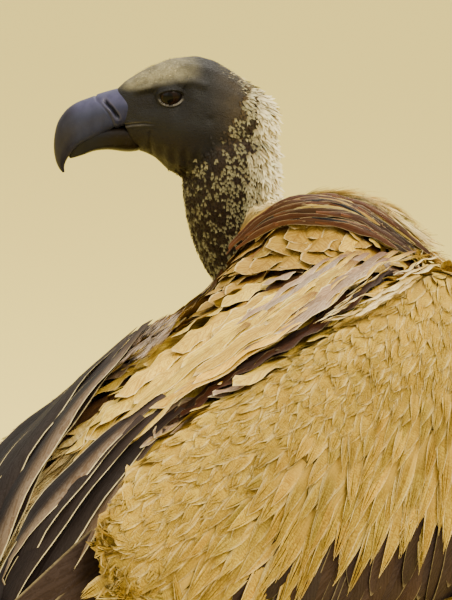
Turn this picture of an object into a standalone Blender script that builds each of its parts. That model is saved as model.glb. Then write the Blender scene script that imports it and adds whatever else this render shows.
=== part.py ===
"""A white-backed vulture, Gyps africanus, life size, standing and looking back past its left shoulder.

The bird heads along -Y with its left side at +X. Every length is in metres. Lofts are rows of rings along a
path; feather fans are grids with one rounded lobe for each feather. A piece is trimmed by a neighbour with a
Boolean whose cutter is the neighbour, grown by SEAM.
"""

import math

import bmesh
import bpy
import numpy as np
from mathutils import Matrix, Vector

# Driving dimensions
SEAM = 0.0005  # clearance between neighbouring pieces
HEAD_TURN = math.radians(132)  # from straight ahead to looking back on the left
HEAD_ROLL = math.radians(6)  # crown leaning to the bird's right
HEAD_AT = Vector((0.1125, -0.043, 0.605))  # middle of the head, between the eyes
EYE_RADIUS = 0.0088
EYE_SPREAD = 0.0122  # from the middle of the head to each eye's centre
EYE_AHEAD = 0.0007
EYE_RISE = 0.0082
BODY_ROLL = math.radians(9)  # leaning to the left, the side it looks back past
ROLL_HEIGHT = 0.48
RIGHT_WING_LIFT = 0.015  # the wing on the outside of the turn is held higher
LEFT_WING_LIFT = -0.016
RIGHT_WING_TILT = math.radians(9)  # raises its rear end about the shoulder
LEFT_WING_TILT = math.radians(7.5)
SHOULDER = Vector((0, -0.04, 0.44))
WING_LEAN = 0.16  # how far the top of a folded wing leans in over the back
RIDGE_SHIFT = -0.003  # of the scapulars, with the ridge of the back, towards the right
SCAPULAR_SLOPE = 0.36  # roof-like fall of the scapulars towards the wing
STANCE = 0.061  # from the middle of the body to each foot
FOOT_Y = 0.036
SOLE = 0.005  # how far a toe would reach below its round section, were it not flat underneath
FAN_SEGMENTS = 3  # grid steps across one feather of a fan

UP = Vector((0, 0, 1))
AHEAD = Vector((0, -1, 0))

COLOURS = {
    "plumage": ((0.56, 0.43, 0.24), 0.85),
    "pale_down": ((0.78, 0.70, 0.52), 0.9),
    "flight_feather": ((0.07, 0.055, 0.045), 0.6),
    "face_skin": ((0.035, 0.034, 0.033), 0.6),
    "neck_skin": ((0.14, 0.125, 0.10), 0.8),
    "horn": ((0.03, 0.032, 0.042), 0.35),
    "eye": ((0.012, 0.008, 0.006), 0.08),
    "leg_skin": ((0.05, 0.048, 0.046), 0.65),
}

# Rows of a loft hold x, y, z of the centre, then half the width, the rise and the drop of the section.
TRUNK = (
    (0, 0.268, 0.310, 0.018, 0.012, 0.014),
    (0, 0.236, 0.332, 0.042, 0.038, 0.036),
    (0, 0.190, 0.360, 0.067, 0.062, 0.070),
    (-0.004, 0.132, 0.388, 0.086, 0.078, 0.100),
    (-0.010, 0.066, 0.412, 0.097, 0.085, 0.127),
    (-0.013, 0.000, 0.430, 0.101, 0.099, 0.138),
    (-0.010, -0.050, 0.442, 0.092, 0.126, 0.134),
    (-0.008, -0.090, 0.448, 0.080, 0.108, 0.119),
    (-0.002, -0.125, 0.448, 0.070, 0.061, 0.094),
    (0.004, -0.155, 0.446, 0.048, 0.034, 0.058),
    (0.004, -0.170, 0.444, 0.018, 0.013, 0.022),
)
# Rows of the neck hold x, y, z and the radius.
NECK = (
    (0.018, -0.096, 0.440, 0.040),
    (0.058, -0.118, 0.464, 0.037),
    (0.087, -0.110, 0.489, 0.0325),
    (0.0975, -0.0865, 0.518, 0.0300),
    (0.0935, -0.0705, 0.550, 0.0278),
    (0.0880, -0.0655, 0.577, 0.0268),
    (0.100, -0.054, 0.596, 0.0190),
)
NECK_CUTS = (5, 8)  # rings of the neck's path where it is divided
RUFF_AT = Vector((0.066, -0.110, 0.484))
RUFF_AXIS = Vector((0.62, 0.25, 0.74))
# Rows of the ruff hold the distance along its axis and the radius.
RUFF = ((-0.030, 0.034), (-0.022, 0.050), (-0.006, 0.058), (0.008, 0.054), (0.018, 0.041))
# Rows of the head hold the distance ahead of the eyes, the height of crown and jaw, and half the width.
HEAD = (
    (0.0285, 0.0075, -0.0300, 0.0115),
    (0.0220, 0.0140, -0.0318, 0.0140),
    (0.0130, 0.0207, -0.0345, 0.0175),
    (0.0030, 0.0268, -0.0400, 0.0212),
    (-0.0080, 0.0290, -0.0450, 0.0248),
    (-0.0190, 0.0258, -0.0470, 0.0268),
    (-0.0300, 0.0208, -0.0440, 0.0264),
    (-0.0405, 0.0142, -0.0380, 0.0240),
    (-0.0500, 0.0060, -0.0300, 0.0195),
    (-0.0570, -0.0040, -0.0210, 0.0120),
    (-0.0592, -0.0100, -0.0150, 0.0045),
)
# Rows of a bill half hold distance ahead, height, half the width, and the rise and drop across the path.
UPPER_BILL = (
    (0.0250, -0.0010, 0.0120, 0.0102, 0.0100),
    (0.0360, -0.0040, 0.0112, 0.0106, 0.0104),
    (0.0470, -0.0085, 0.0102, 0.0118, 0.0112),
    (0.0555, -0.0135, 0.0090, 0.0126, 0.0104),
    (0.0620, -0.0205, 0.0074, 0.0098, 0.0082),
    (0.0657, -0.0285, 0.0054, 0.0062, 0.0054),
    (0.0667, -0.0360, 0.0032, 0.0034, 0.0030),
    (0.0650, -0.0428, 0.0009, 0.0010, 0.0008),
)
LOWER_BILL = (
    (0.0180, -0.0240, 0.0116, 0.0090, 0.0085),
    (0.0280, -0.0230, 0.0106, 0.0092, 0.0070),
    (0.0380, -0.0236, 0.0092, 0.0086, 0.0052),
    (0.0470, -0.0262, 0.0070, 0.0090, 0.0034),
    (0.0545, -0.0303, 0.0046, 0.0072, 0.0022),
    (0.0600, -0.0332, 0.0020, 0.0036, 0.0012),
)
# The rows below are for the left side; the right side is their mirror image.
ARM_WING = (
    (0.094, -0.164, 0.436, 0.006, 0.016, 0.020),
    (0.107, -0.142, 0.444, 0.021, 0.044, 0.056),
    (0.116, -0.090, 0.438, 0.033, 0.071, 0.092),
    (0.118, -0.020, 0.422, 0.037, 0.087, 0.110),
    (0.115, 0.060, 0.394, 0.034, 0.072, 0.106),
    (0.106, 0.135, 0.372, 0.027, 0.062, 0.090),
    (0.096, 0.200, 0.352, 0.017, 0.044, 0.060),
    (0.088, 0.242, 0.338, 0.005, 0.020, 0.026),
)
SCAPULARS = (
    (0.060, -0.093, 0.490, 0.006, 0.003, 0.005),
    (0.059, -0.076, 0.497, 0.020, 0.008, 0.018),
    (0.058, -0.038, 0.506, 0.033, 0.013, 0.034),
    (0.056, 0.030, 0.494, 0.042, 0.016, 0.040),
    (0.054, 0.100, 0.470, 0.041, 0.016, 0.038),
    (0.050, 0.170, 0.438, 0.035, 0.014, 0.030),
    (0.046, 0.238, 0.396, 0.026, 0.010, 0.016),
    (0.044, 0.290, 0.350, 0.010, 0.004, 0.005),
)
THIGH = (
    (0.052, 0.034, 0.350, 0.040, 0.060, 0.056),
    (0.060, 0.020, 0.300, 0.045, 0.064, 0.062),
    (0.064, 0.022, 0.250, 0.040, 0.051, 0.058),
    (0.065, 0.036, 0.200, 0.030, 0.036, 0.043),
    (0.064, 0.053, 0.155, 0.0190, 0.0210, 0.025),
    (0.062, 0.063, 0.120, 0.0100, 0.0105, 0.0115),
)
TARSUS = (
    (0.062, 0.064, 0.124, 0.0078, 0.0082, 0.0090),
    (0.062, 0.059, 0.098, 0.0072, 0.0078, 0.0080),
    (0.0615, 0.047, 0.052, 0.0070, 0.0076, 0.0076),
    (0.061, 0.038, 0.020, 0.0090, 0.0100, 0.0095),
)
# A toe's name, bearing from straight ahead (outwards is positive), offset outwards of its root, and length.
TOES = (
    ("middle", -2, 0.0, 0.088),
    ("inner", -30, -0.009, 0.056),
    ("outer", 28, 0.009, 0.062),
    ("hind", 186, 0.0, 0.042),
)
# A fan's inner and outer root, inner and outer tip, bow away from the body, and number of feathers.
SECONDARIES = (
    ((0.082, 0.080, 0.438), (0.130, -0.050, 0.352), (0.036, 0.335, 0.262), (0.124, 0.110, 0.170)),
    0.014,
    11,
)
PRIMARIES = (
    ((0.099, 0.045, 0.340), (0.106, -0.020, 0.300), (0.050, 0.422, 0.158), (0.094, 0.318, 0.086)),
    0.004,
    6,
)
TAIL = (
    ((0.030, 0.235, 0.316), (-0.030, 0.235, 0.316), (0.072, 0.425, 0.132), (-0.072, 0.425, 0.132)),
    0.006,
    12,
)


def material(name):
    """The Principled material of that name, made once."""
    found = bpy.data.materials.get(name)
    if found:
        return found
    colour, roughness = COLOURS[name]
    found = bpy.data.materials.new(name)
    found.use_nodes = True
    shader = found.node_tree.nodes["Principled BSDF"]
    shader.inputs["Base Color"].default_value = (*colour, 1)
    shader.inputs["Roughness"].default_value = roughness
    return found


def holder(name, matrix, parent=None):
    """An empty that carries pieces."""
    empty = bpy.data.objects.new(name, None)
    bpy.context.scene.collection.objects.link(empty)
    empty.parent = parent
    empty.matrix_basis = matrix
    return empty


def piece(name, bm, finish, parent):
    """A named object from a bmesh, with its material, on its parent."""
    mesh = bpy.data.meshes.new(name)
    bmesh.ops.triangulate(bm, faces=bm.faces)
    bmesh.ops.recalc_face_normals(bm, faces=bm.faces)
    bm.to_mesh(mesh)
    bm.free()
    mesh.shade_smooth()
    mesh.materials.append(material(finish))
    made = bpy.data.objects.new(name, mesh)
    bpy.context.scene.collection.objects.link(made)
    made.parent = parent
    return made


def through(rows, steps):
    """A smooth curve through the rows, with that many steps between each two (Catmull-Rom)."""
    rows = np.array(rows, float)
    padded = np.vstack([2 * rows[0] - rows[1], rows, 2 * rows[-1] - rows[-2]])
    found = []
    for before, start, end, after in zip(padded, padded[1:], padded[2:], padded[3:]):
        for t in np.arange(steps) / steps:
            pull = (end - before) / 2, (after - start) / 2
            found.append(
                start * (2 * t**3 - 3 * t**2 + 1)
                + pull[0] * (t**3 - 2 * t**2 + t)
                + end * (3 * t**2 - 2 * t**3)
                + pull[1] * (t**3 - t**2)
            )
    return np.array([*found, rows[-1]])


def swell(value, power):
    """One coordinate of a superellipse."""
    return math.copysign(abs(value) ** (2 / power), value)


def loft(name, rows, hint, finish, parent, sides=20, power=2.0, under=None, floor=None):
    """A closed body whose sections lie across the path; hint points towards each section's top.

    The sections are superellipses: power shapes their upper half, and under, if given, the lower half.
    """
    bm = bmesh.new()
    centres = [Vector(row[:3]) for row in rows]
    loops = []
    for i, (centre, row) in enumerate(zip(centres, rows)):
        ahead = (centres[min(i + 1, len(rows) - 1)] - centres[max(i - 1, 0)]).normalized()
        up = (hint - ahead * hint.dot(ahead)).normalized()
        side = up.cross(ahead)
        half, rise, drop = row[3:]
        ring = bmesh.ops.create_circle(bm, segments=sides, radius=1)["verts"]
        for k, vertex in enumerate(ring):
            angle = 2 * math.pi * k / sides
            shape = under if under and math.sin(angle) < 0 else power
            height = swell(math.sin(angle), shape)
            vertex.co = centre + side * half * swell(math.cos(angle), shape)
            vertex.co += up * height * (rise if height > 0 else drop)
            if floor is not None:
                vertex.co.z = max(vertex.co.z, floor)
        loops.append([e for e in {e for v in ring for e in v.link_edges}])
    for first, second in zip(loops, loops[1:]):
        bmesh.ops.bridge_loops(bm, edges=first + second)
    for end in (loops[0], loops[-1]):
        bmesh.ops.edgeloop_fill(bm, edges=end)
    return piece(name, bm, finish, parent)


def fan(name, spec, side, lift, finish, parent, thickness, steps=3):
    """A sheet of overlapping feathers: roots along one line, and a rounded lobe for each tip."""
    corners, bow, count = spec
    inner_root, outer_root, inner_tip, outer_tip = (Vector((side * x, y, z + lift)) for x, y, z in corners)
    middle = (outer_tip + inner_tip) / 2 - (outer_root + inner_root) / 2
    out = middle.cross(inner_root - outer_root).normalized() * side
    bm = bmesh.new()
    bmesh.ops.create_grid(bm, x_segments=count * FAN_SEGMENTS, y_segments=steps, size=0.5)
    for vertex in bm.verts:
        across, along = vertex.co.x + 0.5, vertex.co.y + 0.5
        lobe = math.sqrt(max(0.0, 1 - (2 * (across * count % 1) - 1) ** 2))
        reach = along * (1 - 0.07 * (1 - lobe) * along)
        root = inner_root.lerp(outer_root, across)
        tip = inner_tip.lerp(outer_tip, across)
        vertex.co = root.lerp(tip, reach) + out * bow * math.sin(math.pi * (0.15 + 0.7 * along))
    made = piece(name, bm, finish, parent)
    made.modifiers.new("vane", "SOLIDIFY").thickness = thickness
    made.modifiers["vane"].offset = 0
    return made


def ball(name, centre, radius, finish, parent, segments=14):
    """A ball with its poles to either side."""
    bm = bmesh.new()
    bmesh.ops.create_uvsphere(bm, u_segments=segments, v_segments=segments // 2, radius=radius)
    bmesh.ops.rotate(bm, matrix=Matrix.Rotation(math.pi / 2, 3, "X"), verts=bm.verts)
    bmesh.ops.translate(bm, vec=centre, verts=bm.verts)
    return piece(name, bm, finish, parent)


def trim(target, *neighbours):
    """Cuts each neighbour, grown by SEAM, out of the target."""
    for neighbour in neighbours:
        name = "cutter_" + neighbour.name
        cutter = bpy.data.objects.get(name)
        if cutter is None:
            cutter = bpy.data.objects.new(name, neighbour.data.copy())
            bpy.context.scene.collection.objects.link(cutter)
            cutter.parent = neighbour.parent
            for modifier in neighbour.modifiers:
                if modifier.type == "SOLIDIFY":
                    same = cutter.modifiers.new("vane", "SOLIDIFY")
                    same.thickness, same.offset = modifier.thickness, 0
            grow = cutter.modifiers.new("seam", "DISPLACE")
            grow.strength, grow.mid_level = SEAM, 0
            cutter.hide_render = True
            cutter.display_type = "WIRE"
        cut = target.modifiers.new("trim_" + neighbour.name, "BOOLEAN")
        cut.operation, cut.solver, cut.object = "DIFFERENCE", "EXACT", cutter


def keep_beyond(target, point, normal):
    """Cuts the target square across, half of SEAM past the point, and keeps the side the normal points to."""
    bm = bmesh.new()
    bm.from_mesh(target.data)
    everything = bm.verts[:] + bm.edges[:] + bm.faces[:]
    at = point + normal * SEAM / 2
    bmesh.ops.bisect_plane(bm, geom=everything, plane_co=at, plane_no=normal, clear_inner=True)
    bmesh.ops.holes_fill(bm, edges=[edge for edge in bm.edges if edge.is_boundary], sides=0)
    bm.to_mesh(target.data)
    bm.free()


def mirrored(rows, side, lift=0.0):
    return [(side * x, y, z + lift, *rest) for x, y, z, *rest in rows]


def head_frame():
    """Local +X points out of the bill, +Y to the head's left and +Z to its crown."""
    ahead = Vector((math.sin(HEAD_TURN), -math.cos(HEAD_TURN), 0))
    left = UP.cross(ahead)
    turn = Matrix((ahead, left, UP)).transposed().to_4x4()
    return Matrix.Translation(HEAD_AT) @ turn @ Matrix.Rotation(-HEAD_ROLL, 4, "X")


def make_head(stance):
    """Head, both halves of the bill and both eyes, in the head's own frame."""
    frame = holder("head_frame", head_frame(), stance)
    rows = [
        (ahead, 0, (crown + jaw) / 2, half, (crown - jaw) / 2, (crown - jaw) / 2)
        for ahead, crown, jaw, half in HEAD
    ]
    head = loft("head", through(rows, 1), UP, "face_skin", frame, 16, 2.15)
    across = [(x, 0, z, half, rise, drop) for x, z, half, rise, drop in UPPER_BILL]
    upper = loft("bill_upper", through(across, 2), UP, "horn", frame, 12, 1.8, 4)
    across = [(x, 0, z, half, rise, drop) for x, z, half, rise, drop in LOWER_BILL]
    lower = loft("bill_lower", through(across, 1), UP, "horn", frame, 12, 4, 2)
    trim(upper, head)
    trim(lower, head, upper)
    for name, side in (("left", 1), ("right", -1)):
        eye = ball("eye_" + name, (EYE_AHEAD, side * EYE_SPREAD, EYE_RISE), EYE_RADIUS, "eye", frame)
        trim(head, eye)
    return head


def make_neck(stance, head, trunk, shoulder):
    """Three lengths of one tube, then the downy collar round its root, both cut to fit the left shoulder."""
    path = through([(x, y, z, r, r, r) for x, y, z, r in NECK], 2)
    cuts = [(Vector(path[i][:3]), Vector(path[i + 1][:3] - path[i - 1][:3]).normalized()) for i in NECK_CUTS]
    lengths = []
    for i, name in enumerate(("lower", "middle", "upper")):
        length = loft("neck_" + name, path, Vector((-1, 0.6, 0.2)), "neck_skin", stance, 12)
        if i > 0:
            keep_beyond(length, cuts[i - 1][0], cuts[i - 1][1])
        if i < 2:
            keep_beyond(length, cuts[i][0], -cuts[i][1])
        lengths.append(length)
    lower, middle, upper = lengths
    trim(lower, trunk, *shoulder)
    trim(upper, head)
    along = RUFF_AXIS.normalized()
    collar = [(*(RUFF_AT + along * offset), spread, spread, spread) for offset, spread in RUFF]
    ruff = loft("ruff", through(collar, 1), Vector((-1, 0.6, 0.2)), "pale_down", stance, 12)
    trim(ruff, trunk, *shoulder, lower, middle)


def make_wing(body, side, name, lift, tilt, trunk):
    """The coverts over the folded arm, the secondaries, the primaries and the scapulars above them."""
    shoulder = Matrix.Translation(SHOULDER)
    wing = holder("wing_" + name, shoulder @ Matrix.Rotation(tilt, 4, "X") @ shoulder.inverted(), body)
    rows = through(mirrored(ARM_WING, side, lift), 1)
    lean = UP - Vector((side * WING_LEAN, 0, 0))
    arm = loft(f"wing_{name}_coverts", rows, lean, "plumage", wing, 14, 2.2)
    trim(arm, trunk)
    secondaries = fan(f"wing_{name}_secondaries", SECONDARIES, side, lift, "flight_feather", wing, 0.007, 2)
    trim(secondaries, arm)
    primaries = fan(f"wing_{name}_primaries", PRIMARIES, side, lift / 2, "flight_feather", wing, 0.007, 2)
    trim(primaries, arm, secondaries)
    rows = [(x + RIDGE_SHIFT, *rest) for x, *rest in mirrored(SCAPULARS, side, lift * 0.8)]
    slope = UP + Vector((side * SCAPULAR_SLOPE, 0, 0))
    scapulars = loft(f"scapulars_{name}", rows, slope, "plumage", body, 16, 2.5)
    trim(trunk, scapulars)
    trim(arm, scapulars)
    trim(secondaries, scapulars)
    return arm, scapulars, secondaries, primaries


def make_foot(stance, side, name):
    """A pad with four toes, flat underneath, and their claws."""
    pad = ball("foot_" + name, (side * STANCE, FOOT_Y, 0.0105), 0.0135, "leg_skin", stance, 10)
    for vertex in pad.data.vertices:
        vertex.co.x = side * STANCE + (vertex.co.x - side * STANCE) * 1.45
        vertex.co.z = max(vertex.co.z, 0.0)
    for toe, bearing, offset, length in TOES:
        turn = math.radians(bearing) * side
        ahead = Vector((math.sin(turn), -math.cos(turn), 0))
        root = Vector((side * (STANCE + offset), FOOT_Y, 0))
        rows = [
            (0.004, 0.0100, 0.0074),
            (0.30 * length, 0.0082, 0.0066),
            (0.62 * length, 0.0070, 0.0060),
            (0.90 * length, 0.0064, 0.0058),
            (length, 0.0066, 0.0042),
        ]
        path = [(*(root + ahead * d + UP * z), r, r, r + SOLE) for d, z, r in rows]
        body = loft(f"toe_{name}_{toe}", through(path, 1), UP, "leg_skin", stance, 8, 2.2, floor=0.0)
        rows = [
            (length - 0.004, 0.0078, 0.0044),
            (length + 0.005, 0.0100, 0.0041),
            (length + 0.014, 0.0092, 0.0031),
            (length + 0.0200, 0.0052, 0.0018),
            (length + 0.0215, 0.0014, 0.0006),
        ]
        path = [(*(root + ahead * d + UP * z), r * 0.8, r, r) for d, z, r in rows]
        claw = loft(f"claw_{name}_{toe}", through(path, 1), UP + ahead, "horn", stance, 6)
        trim(body, pad)
        trim(claw, body)
    return pad


def make_leg(stance, side, name, trunk, arm, scapulars, secondaries, primaries):
    """The feathered thigh and shank, the bare tarsus, and the foot."""
    thigh = loft("thigh_" + name, through(mirrored(THIGH, side), 1), AHEAD, "plumage", stance, 12)
    trim(thigh, trunk, arm, secondaries, primaries)
    tarsus = loft("tarsus_" + name, through(mirrored(TARSUS, side), 1), AHEAD, "leg_skin", stance, 10)
    pad = make_foot(stance, side, name)
    trim(tarsus, thigh, pad)


def centre_on_floor(stance):
    """Moves the bird so that the middle of its bounding box is over the origin."""
    bpy.context.view_layer.update()
    graph = bpy.context.evaluated_depsgraph_get()
    shown = [o for o in bpy.data.objects if o.type == "MESH" and not o.hide_render]
    corners = []
    for o in shown:
        evaluated = o.evaluated_get(graph)
        corners += [evaluated.matrix_world @ v.co for v in evaluated.data.vertices]
    for axis in (0, 1):
        values = [corner[axis] for corner in corners]
        stance.location[axis] = -(min(values) + max(values)) / 2


def main():
    for old in list(bpy.data.objects):
        bpy.data.objects.remove(old)
    stance = holder("stance", Matrix.Identity(4))
    pivot = Matrix.Translation((0, 0, ROLL_HEIGHT))
    body = holder("body", pivot @ Matrix.Rotation(BODY_ROLL, 4, "Y") @ pivot.inverted(), stance)
    trunk = loft("trunk", through(TRUNK, 1), UP, "plumage", body, 16, 1.85)
    tail = fan("tail", TAIL, 1, 0.0, "flight_feather", body, 0.006, 2)
    trim(tail, trunk)
    shoulder = []
    wings = (-1, "right", RIGHT_WING_LIFT, RIGHT_WING_TILT), (1, "left", LEFT_WING_LIFT, LEFT_WING_TILT)
    for side, name, lift, tilt in wings:
        shoulder = make_wing(body, side, name, lift, tilt, trunk)
        make_leg(stance, side, name, trunk, *shoulder)
    make_neck(stance, make_head(stance), trunk, shoulder[:2])
    centre_on_floor(stance)


main()
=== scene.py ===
"""The looks of a standing white-backed vulture: one skin over the flesh, and feathers laid on it.

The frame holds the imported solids. The skin is their joined shape, drawn in by the depth of the coat. Short
feathers start from roots on the skin and are marched along it, so that they follow the body. Long ones lie
side by side between two guide lines.
The head has a frame of its own, in millimetres: ahead, left and up from the point midway between the eyes.
The body's frame is the bird's own, unleaned, heading along -Y with its left side at +X. Each wing's frame is
the body's, raised at the rear.
"""

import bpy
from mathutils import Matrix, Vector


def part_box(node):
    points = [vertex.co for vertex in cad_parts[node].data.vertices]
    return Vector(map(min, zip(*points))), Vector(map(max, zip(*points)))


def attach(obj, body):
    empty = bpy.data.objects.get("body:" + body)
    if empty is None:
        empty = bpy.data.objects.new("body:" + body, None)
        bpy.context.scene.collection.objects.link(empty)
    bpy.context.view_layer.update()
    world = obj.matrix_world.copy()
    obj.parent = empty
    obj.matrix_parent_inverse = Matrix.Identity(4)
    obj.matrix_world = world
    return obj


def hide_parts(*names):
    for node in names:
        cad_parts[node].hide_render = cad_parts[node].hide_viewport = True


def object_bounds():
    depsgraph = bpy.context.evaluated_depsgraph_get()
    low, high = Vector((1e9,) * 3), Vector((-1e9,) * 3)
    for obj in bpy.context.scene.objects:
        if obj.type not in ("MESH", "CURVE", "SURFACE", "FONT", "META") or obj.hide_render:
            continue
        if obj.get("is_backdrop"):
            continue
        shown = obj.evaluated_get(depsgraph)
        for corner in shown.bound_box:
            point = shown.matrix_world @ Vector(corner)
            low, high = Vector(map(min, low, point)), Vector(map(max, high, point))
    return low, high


bl_info = {
    "name": "White-backed vulture",
    "version": (1, 0, 0),
    "blender": (4, 5, 0),
    "location": "View3D > Sidebar > Vulture",
    "description": "Skin, feathers, eyes, bill, claws and stage of a standing white-backed vulture",
    "category": "Object",
}

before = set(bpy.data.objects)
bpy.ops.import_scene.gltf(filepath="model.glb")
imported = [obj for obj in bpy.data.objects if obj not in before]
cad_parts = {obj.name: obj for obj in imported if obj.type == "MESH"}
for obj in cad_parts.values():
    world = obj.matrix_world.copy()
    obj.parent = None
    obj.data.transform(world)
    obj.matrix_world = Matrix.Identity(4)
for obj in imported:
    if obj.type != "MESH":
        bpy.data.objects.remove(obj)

import math

import bmesh
import bpy
import numpy as np
from mathutils import Matrix, Vector
from mathutils.bvhtree import BVHTree
from mathutils.kdtree import KDTree

CAD_BOX = [list(corner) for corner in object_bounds()]
UP = Vector((0, 0, 1))
MM = 0.001

# Places taken from the frame
FOOT_Y = 0.036  # from the bird's own origin to its feet
BODY_LEAN = math.radians(9)  # towards the left, the side it looks back past
LEAN_HEIGHT = 0.48
SIDES = {"left": 1, "right": -1}
SHOULDER = Vector((0, -0.04, 0.44))
WING_TILT = {"left": math.radians(7.5), "right": math.radians(9)}  # raises a wing's rear end


def middle(node):
    """The middle of a node's box."""
    low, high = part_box(node)
    return (low + high) / 2


def head_matrix():
    """Ahead, left and up of the head, from the point midway between the eyes."""
    left = (middle("eye_left") - middle("eye_right")).normalized()
    ahead = left.cross(UP).normalized()
    turn = Matrix((ahead, left, ahead.cross(left))).transposed().to_4x4()
    return Matrix.Translation((middle("eye_left") + middle("eye_right")) / 2) @ turn @ Matrix.Scale(MM, 4)


FEET = (middle("foot_left") + middle("foot_right")) / 2
STANCE = Matrix.Translation((FEET.x, FEET.y - FOOT_Y, 0))
PIVOT = Matrix.Translation((0, 0, LEAN_HEIGHT))
BODY = STANCE @ PIVOT @ Matrix.Rotation(BODY_LEAN, 4, "Y") @ PIVOT.inverted()
JOINT = Matrix.Translation(SHOULDER)
WINGS = {side: BODY @ JOINT @ Matrix.Rotation(WING_TILT[side], 4, "X") @ JOINT.inverted() for side in SIDES}
HEAD = head_matrix()
HEAD_AHEAD, HEAD_UP = (np.array(HEAD.col[axis][:3]) / MM for axis in (0, 2))
EYE_RADIUS = 8.8
EYE_OUT = (middle("eye_left") - middle("eye_right")).length / 2 / MM

FLESH = (
    ["head", "neck_upper", "neck_middle", "neck_lower", "ruff", "trunk"]
    + ["scapulars_left", "scapulars_right", "wing_left_coverts", "wing_right_coverts"]
    + [f"{part}_{side}" for side in SIDES for part in ("thigh", "tarsus", "foot")]
    + [f"toe_{side}_{toe}" for side in SIDES for toe in ("middle", "inner", "outer", "hind")]
)
LEGS = [name for name in FLESH if name.startswith(("tarsus", "foot", "toe"))]
BARE = ["head", "neck_upper", *LEGS]

SEAM_FILL = 0.0008  # grows each solid so that its neighbours meet
VOXEL = 0.002
EVEN = 0.52  # swells points again after a round of smoothing, so that the shape keeps its size
COAT = {  # how far the skin lies inside the solids
    "head": 0.0008,
    "neck_upper": 0.0012,
    "neck_middle": 0.0015,
    "neck_lower": 0.0020,
    "ruff": 0.016,
    "trunk": 0.012,
    "scapulars": 0.009,
    "wing": 0.009,
    "thigh": 0.010,
    "legs": 0.0005,
}
THIN = 0.30  # the most of a limb's thickness that the coat takes
TOE_SCUTE, SHIN_SCUTE = 0.0042, 0.0060  # from one broad scute to the next

# Outlines on the head, in millimetres ahead of and above the eye
BROW = ((-20, 7.0), (-13, 9.0), (-4, 8.2), (3, 6.7), (9, 5.0), (15, 3.4), (24, 0.6))
GAPE = ((35, -22.4), (30.8, -20.4), (22.9, -18.2), (16, -17.0), (9, -16.9))
MOTTLED = ((-60, 22), (-43, 3), (-31, -16), (-20, -29), (-11, -38), (0, -50))  # pale blotches lie under it
CHEEK_FOLD = ((12.6, -22.0), (13.0, -29.0), (12.0, -37.0))
LID = (6.5, 4.3)  # half the width and height of the opening between the lids

# Rows of a bill half: millimetres ahead and up, half the width, and the rise and drop across the path
UPPER_BILL = (
    (22.5, -9.4, 11.4, 9.6, 8.6),
    (28.0, -10.2, 11.9, 10.4, 10.2),
    (34.0, -11.8, 11.3, 10.6, 10.6),
    (40.0, -14.0, 10.8, 11.0, 10.8),
    (45.6, -16.7, 10.2, 11.7, 11.2),
    (50.6, -19.4, 9.6, 12.4, 11.0),
    (54.8, -22.6, 8.8, 12.4, 10.2),
    (58.8, -26.4, 7.8, 11.0, 9.0),
    (62.0, -31.2, 6.6, 8.6, 7.2),
    (64.6, -37.4, 5.1, 6.0, 5.2),
    (65.9, -43.4, 3.3, 3.6, 3.2),
    (65.7, -48.0, 1.8, 1.9, 1.7),
    (64.5, -51.4, 0.6, 0.7, 0.6),
)
LOWER_BILL = (
    (15.0, -31.5, 6.0, 6.0, 4.0),
    (21.0, -31.6, 9.6, 9.2, 6.2),
    (27.3, -31.4, 10.2, 9.8, 6.8),
    (37.3, -31.9, 9.0, 9.6, 5.2),
    (46.3, -34.4, 6.8, 9.6, 3.5),
    (53.8, -38.5, 4.4, 7.2, 2.2),
    (59.3, -41.4, 2.0, 3.6, 1.2),
    (61.0, -42.2, 0.6, 1.0, 0.6),
)
NOSTRIL = ((31.8, -14.2), (35.2, -9.3), (39.0, -5.8))
CERE_EDGE = ((47.0, -2.0), (44.4, -5.6), (40.6, -8.4), (37.0, -12.6), (34.6, -18.2), (33.6, -23.0))
# Rows of a claw, like a bill half's, but out from its root and up from the floor
CLAW = (
    (-3, 7.4, 3.4, 4.0, 4.0),
    (3, 9.6, 3.5, 4.2, 4.0),
    (9, 10.6, 3.0, 3.7, 3.6),
    (15, 9.2, 2.3, 2.9, 2.8),
    (20, 5.6, 1.4, 1.9, 1.7),
    (22.4, 1.4, 0.4, 0.5, 0.4),
)

# Folded flight feathers of the left wing: inner and outer root, inner and outer tip, in the wing's own frame
SECONDARIES = ((0.082, 0.080, 0.438), (0.130, -0.050, 0.352), (0.036, 0.335, 0.262), (0.124, 0.110, 0.170))
PRIMARIES = ((0.099, 0.045, 0.340), (0.106, -0.020, 0.300), (0.050, 0.422, 0.158), (0.094, 0.318, 0.086))
TAIL = ((0.030, 0.235, 0.316), (-0.030, 0.235, 0.316), (0.072, 0.425, 0.132), (-0.072, 0.425, 0.132))
WING_LIFT = {"left": -0.016, "right": 0.015}

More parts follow.
